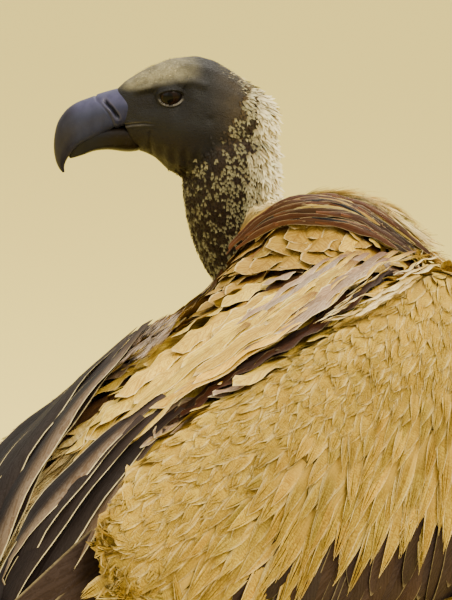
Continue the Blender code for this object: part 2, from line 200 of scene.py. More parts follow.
# The lie of the coat: points of the left side, and which way the feathers point there, in the body's frame
LIE = (
    ((0.00, -0.17, 0.46), (0.0, -0.35, -0.9)),
    ((0.03, -0.15, 0.38), (0.1, 0.1, -1.0)),
    ((0.00, -0.14, 0.53), (0.0, -0.7, -0.7)),
    ((0.05, -0.12, 0.50), (0.4, 0.0, -0.9)),
    ((0.00, -0.05, 0.57), (0.0, 1.0, -0.1)),
    ((0.05, -0.05, 0.55), (0.35, 0.9, -0.2)),
    ((0.00, 0.05, 0.51), (0.0, 1.0, -0.3)),
    ((0.00, 0.15, 0.46), (0.0, 1.0, -0.4)),
    ((0.00, 0.25, 0.34), (0.0, 1.0, -0.6)),
    ((0.00, -0.05, 0.30), (0.0, 0.8, -0.5)),
    ((0.00, 0.10, 0.28), (0.0, 1.0, 0.1)),
    ((0.00, 0.22, 0.30), (0.0, 1.0, 0.1)),
    ((0.06, -0.06, 0.52), (0.2, 1.0, -0.1)),
    ((0.08, 0.03, 0.50), (0.1, 1.0, -0.25)),
    ((0.07, 0.12, 0.46), (-0.05, 1.0, -0.45)),
    ((0.06, 0.24, 0.38), (-0.15, 1.0, -0.6)),
    ((0.06, -0.04, 0.30), (0.05, 0.35, -0.9)),
    ((0.065, 0.0, 0.24), (0.0, 0.2, -1.0)),
    ((0.065, 0.05, 0.16), (0.0, 0.15, -1.0)),
)
# The same on the wing, in the wing's own frame
WING_LIE = (
    ((0.10, -0.16, 0.44), (0.4, 0.30, -0.8)),
    ((0.14, -0.12, 0.50), (0.2, 0.30, -0.9)),
    ((0.14, -0.12, 0.38), (0.0, 0.10, -1.0)),
    ((0.15, -0.03, 0.50), (0.0, 0.50, -0.85)),
    ((0.15, -0.02, 0.38), (0.0, 0.22, -0.97)),
    ((0.15, 0.06, 0.46), (0.0, 0.72, -0.70)),
    ((0.14, 0.08, 0.34), (0.0, 0.40, -0.92)),
    ((0.12, 0.15, 0.42), (-0.1, 0.85, -0.55)),
    ((0.11, 0.22, 0.36), (-0.1, 0.85, -0.60)),
)
# The middle of the neck from the body to the head, in the frame of the stance
NECK_PATH = (
    (0.018, -0.096, 0.440),
    (0.058, -0.118, 0.464),
    (0.087, -0.110, 0.489),
    (0.0975, -0.0865, 0.518),
    (0.0935, -0.0705, 0.550),
    (0.0880, -0.0655, 0.577),
    (0.100, -0.054, 0.596),
)

# Where the pale coverts end on the wing: places along it and heights, in its own frame
COVERT_LINE = (
    (-0.17, 0.408), (-0.10, 0.394), (0.0, 0.375), (0.06, 0.362), (0.12, 0.342), (0.16, 0.300), (0.25, 0.250),
)
# The rows above it: the space between roots, how far down the feathers start to grow and are full grown, the
# lengths and half widths there, and how much their tones vary
COVERT_ROWS = {
    "upper": {
        "spacing": 0.0040,
        "squash": (1, 1, 1),
        "grown": (-0.15, -0.06),
        "length": (0.018, 0.026),
        "half": (0.0036, 0.0044),
        "lift": 0.0042,
        "spread": 0.05,
    },
    "lower": {
        "spacing": 0.0052,
        "squash": (1, 1, 0.6),
        "grown": (-0.06, -0.02),
        "length": (0.034, 0.056),
        "half": (0.0040, 0.0052),
        "lift": 0.0080,
        "spread": 0.12,
    },
}

# Guides that long feathers lie between, in the body's frame: an inner and an outer line, from root to tip
HACKLE_ARCS = (
    (
        (0.022, 0.002, 0.524), (0.004, -0.006, 0.536), (-0.020, -0.016, 0.542), (-0.042, -0.030, 0.534),
        (-0.060, -0.040, 0.522), (-0.074, -0.048, 0.510),
    ),
    (
        (0.034, -0.024, 0.530), (0.014, -0.042, 0.552), (-0.010, -0.056, 0.560), (-0.034, -0.066, 0.552),
        (-0.056, -0.073, 0.530), (-0.068, -0.078, 0.508),
    ),
)
FUZZ = (
    (
        (0.060, -0.044, 0.535), (0.034, -0.044, 0.556), (0.004, -0.060, 0.566), (-0.030, -0.070, 0.556),
        (-0.064, -0.080, 0.520),
    ),
    (
        (0.064, -0.070, 0.535), (0.034, -0.075, 0.552), (0.000, -0.090, 0.558), (-0.034, -0.096, 0.545),
        (-0.068, -0.096, 0.512),
    ),
)
LONG_SCAPULARS = (
    (
        (0.050, -0.020, 0.520), (0.056, 0.030, 0.508), (0.056, 0.080, 0.492), (0.050, 0.130, 0.474),
        (0.040, 0.200, 0.440),
    ),
    (
        (0.080, -0.040, 0.512), (0.092, 0.020, 0.503), (0.092, 0.070, 0.488), (0.084, 0.110, 0.474),
        (0.062, 0.165, 0.456),
    ),
)
UNDER_SCAPULARS = (
    (
        (0.080, -0.030, 0.510), (0.088, 0.030, 0.500), (0.088, 0.080, 0.484), (0.080, 0.130, 0.466),
        (0.064, 0.180, 0.448),
    ),
    (
        (0.096, -0.020, 0.512), (0.102, 0.030, 0.500), (0.101, 0.080, 0.482), (0.094, 0.130, 0.466),
        (0.078, 0.180, 0.448),
    ),
)
NEAR_TERTIALS = (
    (
        (-0.060, 0.135, 0.470), (-0.046, 0.185, 0.448), (-0.038, 0.230, 0.420), (-0.030, 0.275, 0.385),
        (-0.022, 0.330, 0.345), (-0.016, 0.370, 0.315),
    ),
    (
        (-0.080, 0.130, 0.466), (-0.072, 0.175, 0.450), (-0.068, 0.215, 0.428), (-0.065, 0.260, 0.390),
        (-0.062, 0.305, 0.350), (-0.056, 0.350, 0.312),
    ),
)
FAR_TERTIALS = (
    (
        (0.034, 0.036, 0.494), (0.014, 0.086, 0.480), (0.006, 0.140, 0.456), (0.002, 0.195, 0.426),
        (0.002, 0.250, 0.388), (0.004, 0.310, 0.340),
    ),
    (
        (0.106, 0.018, 0.476), (0.108, 0.055, 0.466), (0.103, 0.100, 0.446), (0.093, 0.150, 0.425),
        (0.080, 0.210, 0.392), (0.062, 0.290, 0.340),
    ),
)
WING_EDGE = (
    ((-0.109, -0.034, 0.513), (-0.108, 0.006, 0.506), (-0.103, 0.046, 0.494), (-0.099, 0.062, 0.489)),
    ((-0.117, -0.024, 0.511), (-0.117, 0.016, 0.503), (-0.112, 0.054, 0.490), (-0.107, 0.070, 0.485)),
)
LONE_FEATHER = (
    ((-0.072, 0.150, 0.458), (-0.073, 0.169, 0.449), (-0.073, 0.186, 0.438)),
    ((-0.074, 0.150, 0.458), (-0.075, 0.169, 0.449), (-0.075, 0.186, 0.438)),
)
FLUFF = (
    ((-0.002, 0.046, 0.497), (-0.006, 0.078, 0.486), (-0.008, 0.110, 0.474)),
    ((0.036, 0.046, 0.493), (0.030, 0.078, 0.482), (0.024, 0.110, 0.470)),
)

# Shapes of vanes: how drawn out the tip is, the camber, how far one edge curls up, and the waves' phase
MANTLE_SHAPES = ((0.8, 0.2, 0, 0), (0.7, 0.28, 0.1, 1), (0.9, 0.1, 0.2, 2), (0.8, 0.3, -0.1, 3))
SCAPULAR_SHAPES = ((1.3, 0.2, 0, 0), (1.0, 0.3, 0.1, 2), (1.1, 0.1, 0.2, 4), (1.4, 0.25, -0.1, 1))
HACKLE_SHAPES = ((1.5, 0.3, 0.1, 0), (1.5, 0.3, 0.1, 2), (1.5, 0.3, 0.1, 4))
TERTIAL_SHAPES = ((1.2, 0.12, 0, 0), (1.2, 0.12, 0, 1.5), (1.2, 0.12, 0, 3.1))
STRAND = 0.012  # half a strand's width at its tip, of the feather's half width

# Width of a feather's patch on the map "OFBake"
PATCH, MANTLE_PATCH, LONG_PATCH, FLIGHT_PATCH = 0.003, 0.004, 0.006, 0.06

# Colours that only one kind of feather or skin has
# Painted shade: the near-black brown of the feathers laid in the crease under the scapulars.
CREASE_SHADE_BROWN = (0.032, 0.011, 0.003)
HACKLE_BROWN = (0.046, 0.017, 0.003)
TERTIAL_BLACK = (0.009, 0.006, 0.006)
# The upper lid's dark skin, with the brow's shadow painted over it.
UPPER_LID_DARK_AND_SHADOW = (0.004, 0.003, 0.003)
# Dark lores with painted shadow from the brow's overhang.
LORE_AND_BROW_SHADOW = (0.005, 0.004, 0.005)
HIND_OLIVE = (0.034, 0.024, 0.011)
BILL_TIP = (0.012, 0.010, 0.012)
# Painted shade: the black inside the nostril slit.
NOSTRIL_SHADOW = (0.002, 0.002, 0.003)
# Painted highlight: the pale line along the nostril's rim.
NOSTRIL_RIM_HIGHLIGHT = (0.16, 0.15, 0.20)

# Lights: degrees round from the camera and up, distance, size, watts and colour
LIGHTS = {
    "key": (38, 48, 2.2, 1.3, 98, (1.0, 0.89, 0.66)),
    "fill": (-50, 22, 2.6, 2.0, 26, (1.0, 0.97, 0.90)),
    "rim": (165, 50, 2.2, 1.2, 45, (1.0, 0.94, 0.82)),
}
STUDIO = (1.0, 0.94, 0.78, 1)  # the light all round

MADE = {}  # what one operator leaves for the next ones: the skin and the shared materials


def inverse(matrix, points):
    """Points of the world, seen in that frame."""
    back = np.array(matrix.inverted())
    return points @ back[:3, :3].T + back[:3, 3]


def forward(matrix, points):
    """Points of that frame, in the world."""
    ahead = np.array(matrix)
    return np.asarray(points, float) @ ahead[:3, :3].T + ahead[:3, 3]


def turned(matrix, directions):
    """Directions of that frame, in the world."""
    return np.asarray(directions, float) @ np.array(matrix.to_3x3().normalized()).T


def unit(vectors):
    """The vectors at a length of 1."""
    return vectors / np.maximum(np.linalg.norm(vectors, axis=-1, keepdims=True), 1e-9)


def ramp(values, low, high):
    """0 below low, 1 above high and a smooth climb between them."""
    t = np.clip((values - low) / (high - low), 0, 1)
    return t * t * (3 - 2 * t)


def hill(values, width):
    """1 at 0, falling off smoothly over the width."""
    return np.exp(-((values / width) ** 2))


def from_line(points, corners):
    """Distance of plane points from a chain of straight runs."""
    best = np.full(len(points), 1e9)
    for start, end in zip(np.array(corners, float), np.array(corners[1:], float)):
        run = end - start
        t = np.clip(((points - start) @ run) / (run @ run), 0, 1)
        best = np.minimum(best, np.linalg.norm(points - start - t[:, None] * run, axis=1))
    return best


def line_height(x, corners):
    """Height of a chain of straight runs at x."""
    corners = np.array(sorted(corners), float)
    return np.interp(x, corners[:, 0], corners[:, 1])


def read(mesh, kind, name, width=1, dtype=float):
    """One value or vector of every element of a mesh."""
    found = np.zeros(len(getattr(mesh, kind)) * width, dtype)
    getattr(mesh, kind).foreach_get(name, found)
    return found.reshape(-1, width) if width > 1 else found


def mesh_tree(mesh):
    """A search tree over the mesh's triangles."""
    mesh.calc_loop_triangles()
    co = read(mesh, "vertices", "co", 3)
    return BVHTree.FromPolygons(co.tolist(), read(mesh, "loop_triangles", "vertices", 3, np.int32).tolist())


def add_object(name, mesh, *materials):
    """A smooth object of the mesh, in the scene."""
    made = bpy.data.objects.new(name, mesh)
    bpy.context.scene.collection.objects.link(made)
    for material in materials:
        mesh.materials.append(material)
    mesh.shade_smooth()
    return made


def finish_piece(made, slot, *nodes):
    """The piece rides on the body and stands for its nodes; the slot is not used."""
    if nodes:
        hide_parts(*nodes)
    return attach(made, "root")


def paint(mesh, name, colours):
    """A colour for every vertex, as an attribute."""
    layer = mesh.color_attributes.new(name=name, type="FLOAT_COLOR", domain="POINT")
    rgba = np.ones((len(colours), 4), np.float32)
    rgba[:, :3] = colours
    layer.data.foreach_set("color", rgba.ravel())


def grade(mesh, name, values):
    """A number for every vertex, as an attribute."""
    layer = mesh.attributes.new(name=name, type="FLOAT", domain="POINT")
    layer.data.foreach_set("value", np.asarray(values, np.float32))


# Materials


class Nodes:
    """A material's nodes, added one by one and linked by name."""

    def __init__(self, name):
        self.material = bpy.data.materials.new(name)
        self.material.use_nodes = True
        self.tree = self.material.node_tree
        self.shader = self.tree.nodes["Principled BSDF"]

    def add(self, kind, inputs=(), **settings):
        node = self.tree.nodes.new("ShaderNode" + kind)
        for key, value in settings.items():
            setattr(node, key, value)
        for key, value in dict(inputs).items():
            self.set(node.inputs[key], value)
        return node

    def set(self, socket, value):
        if isinstance(value, bpy.types.NodeSocket):
            self.tree.links.new(value, socket)
        else:
            socket.default_value = value

    def shade(self, **inputs):
        for key, value in inputs.items():
            self.set(self.shader.inputs[key.replace("_", " ")], value)

    def attribute(self, name, output="Color"):
        return self.add("Attribute", attribute_name=name).outputs[output]

    def place(self, scale=(1, 1, 1)):
        place = self.add("TexCoord").outputs["Object"]
        return self.add("Mapping", {"Vector": place, "Scale": scale}).outputs["Vector"]

    def noise(self, scale, detail=3.0, vector=None, roughness=0.55):
        inputs = {"Vector": vector or self.place(), "Scale": scale, "Detail": detail, "Roughness": roughness}
        return self.add("TexNoise", inputs).outputs["Fac"]

    def cells(self, scale, feature="DISTANCE_TO_EDGE", vector=None):
        inputs = {"Vector": vector or self.place(), "Scale": scale}
        return self.add("TexVoronoi", inputs, feature=feature).outputs["Distance"]

    def math(self, operation, a, b=0.0, clamp=False):
        node = self.add("Math", operation=operation, use_clamp=clamp)
        self.set(node.inputs[0], a)
        self.set(node.inputs[1], b)
        return node.outputs[0]

    def range(self, value, low, high, to_low=0.0, to_high=1.0):
        inputs = {"Value": value, "From Min": low, "From Max": high, "To Min": to_low, "To Max": to_high}
        return self.add("MapRange", inputs, interpolation_type="SMOOTHSTEP").outputs["Result"]

    def mix(self, factor, a, b, blend="MIX"):
        node = self.add("Mix", data_type="RGBA", blend_type=blend)
        for socket, value in zip((node.inputs[0], node.inputs[6], node.inputs[7]), (factor, a, b)):
            if isinstance(value, tuple) and len(value) == 3:
                value = (*value, 1)
            self.set(socket, value)
        return node.outputs[2]

    def bump(self, height, distance, strength=1.0, below=None):
        inputs = {"Height": height, "Distance": distance, "Strength": strength}
        if below:
            inputs["Normal"] = below
        return self.add("Bump", inputs).outputs["Normal"]


def skin_material():
    """Bare skin: painted tones, broken by fine mottling, with pores and wrinkles; scaly on the legs."""
    m = Nodes("skin")
    tone = m.attribute("tone")
    mottle = m.noise(160, 5)
    fine = m.noise(900, 4)
    colour = m.mix(m.range(mottle, 0.35, 0.7), m.mix(0.5, tone, (0.006, 0.005, 0.005)), tone)
    colour = m.mix(m.range(fine, 0.62, 0.8, 0, 0.2), colour, (0.10, 0.09, 0.08))
    scaly = m.attribute("scaly", "Fac")
    scale_edge = m.range(m.cells(330), 0.0, 0.22)
    grooves = m.math("MULTIPLY", scaly, m.range(scale_edge, 0, 0.6, 0.7, 0))
    colour = m.mix(grooves, colour, (0.02, 0.018, 0.016))
    wrinkles = m.noise(420, 6, m.place((1, 1, 2.2)), 0.65)
    pores = m.cells(1300, "F1")
    skin = m.math("ADD", m.math("MULTIPLY", wrinkles, 0.8), m.math("MULTIPLY", pores, 0.25))
    height = m.math("ADD", skin, m.math("MULTIPLY", m.math("MULTIPLY", scale_edge, scaly), 1.4))
    rough = m.range(fine, 0.2, 0.8, 0.45, 0.7)
    m.shade(Base_Color=colour, Roughness=rough, Normal=m.bump(height, 0.0009, 0.8))
    m.shader.inputs["Specular IOR Level"].default_value = 0.16
    return m.material


def feather_material(name, rim_colour, rim, base_and_shade_colour, base, rough):
    """A vane: barbs slanting off a shaft, a paler rim and a darker downy base, which also paints shade into
    the gaps between overlapping feathers.

    The map "vane" runs from root to tip and from one side to the other. The rim holds where it starts and
    ends on the way out from the shaft, and how strong it is. The base holds where it starts to give way and
    where it is gone.
    """
    m = Nodes(name)
    split = m.add("SeparateXYZ", {"Vector": m.add("UVMap", uv_map="vane").outputs["UV"]})
    along, across = split.outputs["X"], split.outputs["Y"]
    off = m.math("MULTIPLY", m.math("ABSOLUTE", m.math("SUBTRACT", across, 0.5)), 2.0)
    tone = m.attribute("tone")
    cloud = m.noise(90, 4)
    warm = m.mix(1.0, tone, (0.62, 0.50, 0.36), "MULTIPLY")
    colour = m.mix(m.range(cloud, 0.3, 0.72, 0.0, 0.35), tone, warm)
    slant = m.math("SUBTRACT", along, m.math("MULTIPLY", off, 0.22))
    barb = {"X": m.math("MULTIPLY", slant, 34.0), "Y": off, "Z": m.math("MULTIPLY", cloud, 9.0)}
    streak = m.noise(1.0, 2, m.add("CombineXYZ", barb).outputs["Vector"])
    dark = m.mix(1.0, colour, (0.66, 0.58, 0.48), "MULTIPLY")
    colour = m.mix(m.range(streak, 0.38, 0.62), dark, colour)
    edge = m.math("MAXIMUM", m.range(off, rim[0], rim[1]), m.range(along, 1 - (1 - rim[0]) * 0.4, 1.0))
    patchy = m.range(streak, 0.3, 0.6, 0.55, 1.0)
    colour = m.mix(m.math("MULTIPLY", m.math("MULTIPLY", edge, rim[2]), patchy), colour, rim_colour)
    ragged = m.math("ADD", along, m.math("MULTIPLY", streak, 0.16))
    grown = m.math("SUBTRACT", ragged, m.math("MULTIPLY", off, 0.06))
    # The darker base is partly the downy base's own colour and partly painted shade for the gaps between
    # overlapping feathers.
    colour = m.mix(m.range(grown, base[0] + 0.08, base[1] + 0.08, 0.85, 0.0), colour, base_and_shade_colour)
    shaft = m.mix(1.0, tone, (0.5, 0.36, 0.26), "MULTIPLY")
    colour = m.mix(m.range(off, 0.03, 0.09, 0.35, 0.0), colour, shaft)
    hump = m.math("ADD", m.math("MULTIPLY", streak, 0.8), m.range(off, 0.03, 0.12, 0.6, 0.0))
    m.shade(Base_Color=colour, Normal=m.bump(hump, 0.0007, 0.6))
    m.shader.inputs["Roughness"].default_value = rough
    m.shader.inputs["Specular IOR Level"].default_value = 0.12
    return m.material


def down_material():
    """Loose down: the painted tone, darker at the roots."""
    m = Nodes("down")
    place = m.add("UVMap", uv_map="vane").outputs["UV"]
    along = m.add("SeparateXYZ", {"Vector": place}).outputs["X"]
    tone = m.attribute("tone")
    colour = m.mix(m.range(along, 0.0, 0.6), m.mix(1.0, tone, (0.5, 0.44, 0.38), "MULTIPLY"), tone)
    m.shade(Base_Color=colour)
    m.shader.inputs["Roughness"].default_value = 0.85
    m.shader.inputs["Specular IOR Level"].default_value = 0.1
    return m.material


def horn_material():
    """Bill and claws: painted tones with growth lines and faint scuffs, waxy."""
    m = Nodes("horn")
    tone = m.attribute("tone")
    streaks = m.noise(220, 4, m.place((1, 1, 0.35)))
    scuffs = m.noise(1100, 3)
    dark = m.mix(1.0, tone, (0.5, 0.5, 0.55), "MULTIPLY")
    colour = m.mix(m.range(streaks, 0.35, 0.7, 0.0, 0.5), tone, dark)
    colour = m.mix(m.range(scuffs, 0.6, 0.75, 0, 0.2), colour, (0.08, 0.08, 0.10))
    height = m.math("ADD", streaks, m.math("MULTIPLY", scuffs, 0.3))
    rough = m.range(scuffs, 0.3, 0.7, 0.3, 0.5)
    m.shade(Base_Color=colour, Roughness=rough, Normal=m.bump(height, 0.0006, 0.35))
    m.shader.inputs["Specular IOR Level"].default_value = 0.15
    return m.material


def eye_material():
    """A dark brown iris round a black pupil, under a wet cornea."""
    m = Nodes("eye")
    off = m.attribute("off_axis", "Fac")
    fibres = m.noise(900, 5)
    iris = m.mix(m.range(fibres, 0.3, 0.7), (0.004, 0.0025, 0.002), (0.011, 0.005, 0.003))
    iris = m.mix(m.range(off, 0.62, 0.80), iris, (0.004, 0.003, 0.003))
    m.shade(Base_Color=m.mix(m.range(off, 0.34, 0.38), (0.002, 0.002, 0.002), iris))
    m.shader.inputs["Roughness"].default_value = 0.25
    m.shader.inputs["Specular IOR Level"].default_value = 0.05
    m.shader.inputs["Coat Weight"].default_value = 0.08
    m.shader.inputs["Coat Roughness"].default_value = 0.03
    return m.material


# The skin


def joined_flesh():
    """The flesh solids and the eyes' balls, each grown a little so that they merge, in one mesh."""
    bm = bmesh.new()
    for name in (*FLESH, "eye_left", "eye_right"):
        part = bmesh.new()
        part.from_mesh(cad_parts[name].data)
        bmesh.ops.remove_doubles(part, verts=part.verts, dist=1e-5)
        part.normal_update()
        for vertex in part.verts:
            vertex.co += vertex.normal * SEAM_FILL
        grown = bpy.data.meshes.new("grown")
        part.to_mesh(grown)
        part.free()
        bm.from_mesh(grown)
        bpy.data.meshes.remove(grown)
    mesh = bpy.data.meshes.new("flesh")
    bm.to_mesh(mesh)
    bm.free()
    return mesh


def evaluated(made):
    """The object's mesh with its modifiers applied; the object goes."""
    graph = bpy.context.evaluated_depsgraph_get()
    mesh = bpy.data.meshes.new_from_object(made.evaluated_get(graph))
    bpy.data.objects.remove(made)
    return mesh


def remeshed(mesh):
    """One closed skin round everything in the mesh."""
    made = add_object("remeshing", mesh)
    remesh = made.modifiers.new("skin", "REMESH")
    remesh.mode, remesh.voxel_size = "VOXEL", VOXEL
    return evaluated(made)


def thinned(mesh, covered, ratio):
    """Fewer faces where the coat hides the skin."""
    made = add_object("thinning", mesh)
    made.vertex_groups.new(name="covered").add(np.flatnonzero(covered).tolist(), 1.0, "REPLACE")
    fewer = made.modifiers.new("fewer", "DECIMATE")
    fewer.ratio, fewer.vertex_group = ratio, "covered"
    return evaluated(made)


def relax(values, edges, weights, rounds, back=0.0):
    """Smooths rows of values along a mesh's edges; back swells them again after each round."""
    count = len(values)
    links = np.maximum(np.bincount(edges.ravel(), minlength=count), 1)[:, None]
    for _ in range(rounds):
        for step in (0.5, -back):
            if step:
                sums = [
                    np.bincount(edges[:, 0], column[edges[:, 1]], count)
                    + np.bincount(edges[:, 1], column[edges[:, 0]], count)
                    for column in values.T
                ]
                values = values + (weights * step)[:, None] * (np.stack(sums, axis=1) / links - values)
    return values


class Solids:
    """The flesh solids, searched for the one nearest to a point."""

    def __init__(self):
        points, faces, self.owners = [], [], []
        for index, name in enumerate(FLESH):
            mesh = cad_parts[name].data
            mesh.calc_loop_triangles()
            triangles = read(mesh, "loop_triangles", "vertices", 3, np.int32) + len(points)
            points += read(mesh, "vertices", "co", 3).tolist()
            faces += triangles.tolist()
            self.owners += [index] * len(triangles)
        self.tree = BVHTree.FromPolygons(points, faces)

    def labels(self, points):
        """The place in FLESH of the solid nearest to each point."""
        return np.array([self.owners[self.tree.find_nearest(point)[2]] for point in points.tolist()])


def is_part(labels, *starts):
    """Whether each label names a solid whose name has one of these beginnings."""
    wanted = [index for index, name in enumerate(FLESH) if name.startswith(starts)]
    return np.isin(labels, wanted)


def coat_depth(labels):
    """How deep the coat is over each labelled point."""
    depth = np.zeros(len(labels))
    for start, value in COAT.items():
        group = LEGS if start == "legs" else [start]
        depth[is_part(labels, *group)] = value
    return depth


def refine(mesh, chosen):
    """Cuts each face whose corners are all chosen into smaller ones."""
    bm = bmesh.new()
    bm.from_mesh(mesh)
    bm.verts.ensure_lookup_table()
    edges = [edge for edge in bm.edges if chosen[edge.verts[0].index] and chosen[edge.verts[1].index]]
    bmesh.ops.subdivide_edges(bm, edges=edges, cuts=1, use_grid_fill=True)
    bmesh.ops.triangulate(bm, faces=[face for face in bm.faces if len(face.verts) > 4])
    bm.to_mesh(mesh)
    bm.free()


def vertex_normals(mesh):
    mesh.update()
    return read(mesh, "vertex_normals", "vector", 3)


def points_and_edges(mesh):
    return read(mesh, "vertices", "co", 3), read(mesh, "edges", "vertices", 2, np.int32)


def put(mesh, co):
    """Moves the mesh's points there."""
    mesh.vertices.foreach_set("co", np.asarray(co, np.float32).ravel())
    mesh.update()


def lid_distance(ahead, up):
    """1 on the rim between the lids, less inside; the upper lid is the straighter one."""
    height = np.where(up > 0, LID[1] * 0.88, LID[1])
    return np.sqrt((ahead / LID[0]) ** 2 + ((up + 0.07 * ahead) / height) ** 2)


def head_relief(local):
    """How far the head's skin stands out from its solid, in millimetres."""
    ahead, out, up = local.T
    plane = local[:, [0, 2]]
    below = line_height(ahead, BROW) - up
    brow = 1.5 * hill(from_line(plane, BROW), 2.0) * ramp(-ahead, -25, -17)
    lores = 1.4 * hill((ahead - 14) / 7, 1) * ramp(below, 0, 3) * ramp(up, -13, -7)
    under_eye = 0.9 * hill((ahead + 3) / 12, 1) * hill(below - 11.5, 2.0)
    gape = from_line(plane, GAPE)
    lips = (0.3 * hill(gape - 1.5, 0.8) - 0.6 * hill(gape, 0.6)) * ramp(ahead, 8, 16)
    fold = 0.5 * hill(from_line(plane, CHEEK_FOLD), 0.8)
    cheek = 1.0 * hill(np.hypot((ahead + 8) / 10, (up + 20) / 9), 1)
    ear = 0.9 * hill(np.hypot(ahead + 23, up + 12), 2.0)
    throat = 0.35 * np.sin(0.9 * ahead + 0.5 * np.sin(0.4 * up)) * ramp(-up, 26, 34)
    return (brow - lores - under_eye + lips - fold + cheek - ear + throat) * ramp(np.abs(out), 4, 9)


def round_eyes(local):
    """Points of the head drawn onto the eyelids, and into the ball where the lids are open."""
    side = np.where(local[:, 1] < 0, -1.0, 1.0)
    centre = np.stack([0 * side, side * EYE_OUT, 0 * side], axis=1)
    spoke = local - centre
    reach = np.linalg.norm(spoke, axis=1)
    spoke = spoke / reach[:, None]
    rim = lid_distance(*(spoke[:, [0, 2]] * EYE_RADIUS).T)
    lids = EYE_RADIUS + 0.85 + 0.5 * hill(rim - 1.14, 0.14)
    lids += 0.5 * hill(rim - 1.1, 0.2) * ramp(local[:, 2], 0.5, 3)
    socket = np.maximum(lids, np.minimum(reach, lids + ramp(rim, 1.25, 1.9) * 9))
    shell = np.where(rim < 1, EYE_RADIUS - 1.6, socket)
    near = ramp(-np.hypot(local[:, 0], local[:, 2]), -14, -11)
    amount = near * ramp(np.abs(local[:, 1]), EYE_OUT - 1, EYE_OUT + 2)
    return centre + spoke * (reach + (shell - reach) * amount)[:, None]


def sculpt_head(co, normals):
    """Sockets and lids round the eyes, brow, lores, gape and folds."""
    rise = head_relief(inverse(HEAD, co)) * MM
    return forward(HEAD, round_eyes(inverse(HEAD, co + normals * rise[:, None])))


def toe_ridges(co, normals, labels):
    """Broad scutes across the toes and down the front of the tarsi."""
    rise = np.zeros(len(co))
    for side in SIDES:
        foot = np.array(middle("foot_" + side))
        far = np.linalg.norm((co - foot)[:, :2], axis=1)
        toes, shin = is_part(labels, "toe_" + side), is_part(labels, "tarsus_" + side)
        top, front = ramp(normals[toes, 2], 0.1, 0.7), ramp(-normals[shin, 1], 0.1, 0.7)
        rise[toes] = 0.35 * np.abs(np.sin(math.pi * far[toes] / TOE_SCUTE)) * top
        rise[shin] = 0.3 * np.abs(np.sin(math.pi * co[shin, 2] / SHIN_SCUTE)) * front
    return co + normals * (rise * MM)[:, None]


def blend_in(colour, weight, other):
    """The colours, mixed with the other one by each one's weight."""
    return colour + weight[:, None] * (np.array(other) - colour)


def skin_tones(co, labels, colours):
    """The colour of the bare skin and of what shows between the feathers, which is painted dark as shade."""
    # Painted shade: the skin under the coat is painted dark, on wings and thighs at 0.6 of the shaded base
    # and on the breast at 0.6 of the ruff, so that the gaps between feathers look shadowed.
    tone = np.tile(np.array(colours.under), (len(co), 1))
    tone[is_part(labels, "wing", "thigh")] = np.array(colours.shade) * 0.6
    tone[is_part(labels, "trunk") & (inverse(BODY, co)[:, 1] < -0.07)] = np.array(colours.ruff) * 0.6
    tone[is_part(labels, "neck", "ruff")] = colours.neck
    tone[is_part(labels, *LEGS)] = colours.legs
    head = is_part(labels, "head")
    local = inverse(HEAD, co)
    tone[head] = face_tones(local[head], colours)
    ahead, out, up = local.T
    near = head & (np.abs(out) > EYE_OUT)
    rim = lid_distance(ahead, up)
    lower = hill(rim - 1.13, 0.09) * ramp(-up, 0.4, 2.6) * near
    # The upper lid near the opening is painted near-black: its dark skin, with the brow's shadow painted
    # over it.
    dark = hill(rim - 1.06, 0.24) * ramp(up, -1.5, 0.8) * near
    tone = blend_in(tone, 0.85 * dark, UPPER_LID_DARK_AND_SHADOW)
    tone = blend_in(tone, 0.5 * lower, colours.lid)
    # Painted highlight: a pale line just under the gape's lip, in the lower lid's colour.
    lip_highlight = hill(from_line(local[:, [0, 2]], GAPE) - 0.9, 0.4)
    return blend_in(tone, 0.3 * lip_highlight * ramp(np.abs(out), 4, 8) * head * ramp(ahead, 8, 20), colours.lid)


def face_tones(local, colours):
    """Dark cheeks and lores with painted shadow under the brow, an olive forehead above the brow, and a
    red-brown throat.
    """
    ahead, out, up = local.T
    tone = np.tile(np.array(colours.face), (len(local), 1))
    above = up - line_height(ahead, BROW)
    tone = blend_in(tone, ramp(above, -1.0, 5.5) * ramp(ahead, -22, 2), colours.crown)
    # Dark lores and painted shadow: near-black just under the brow, where its overhang shades the face.
    lores = hill(np.hypot((ahead - 13) / 10, (up + 3) / 4.5), 1) * ramp(-above, -0.5, 1.5)
    tone = blend_in(tone, 0.6 * lores, LORE_AND_BROW_SHADOW)
    tone = blend_in(tone, 0.9 * ramp(-up, 17, 28) * ramp(ahead, -26, 0), colours.throat)
    rear = ramp(-ahead, 20, 40) * ramp(up, -50, -15)
    return blend_in(tone, 0.8 * rear, HIND_OLIVE)


def spaced(points, gap):
    """Places in the list of the points that lie a gap or more from all the ones kept before them."""
    kept, cells = [], {}
    steps = [(i, j, k) for i in (-1, 0, 1) for j in (-1, 0, 1) for k in (-1, 0, 1)]
    keys = np.floor(points / gap).astype(int).tolist()
    for index, ((i, j, k), (x, y, z)) in enumerate(zip(keys, points.tolist())):
        around = [place for a, b, c in steps for place in cells.get((i + a, j + b, k + c), ())]
        if all((u - x) ** 2 + (v - y) ** 2 + (w - z) ** 2 >= gap**2 for u, v, w in around):
            cells.setdefault((i, j, k), []).append((x, y, z))
            kept.append(index)
    return kept


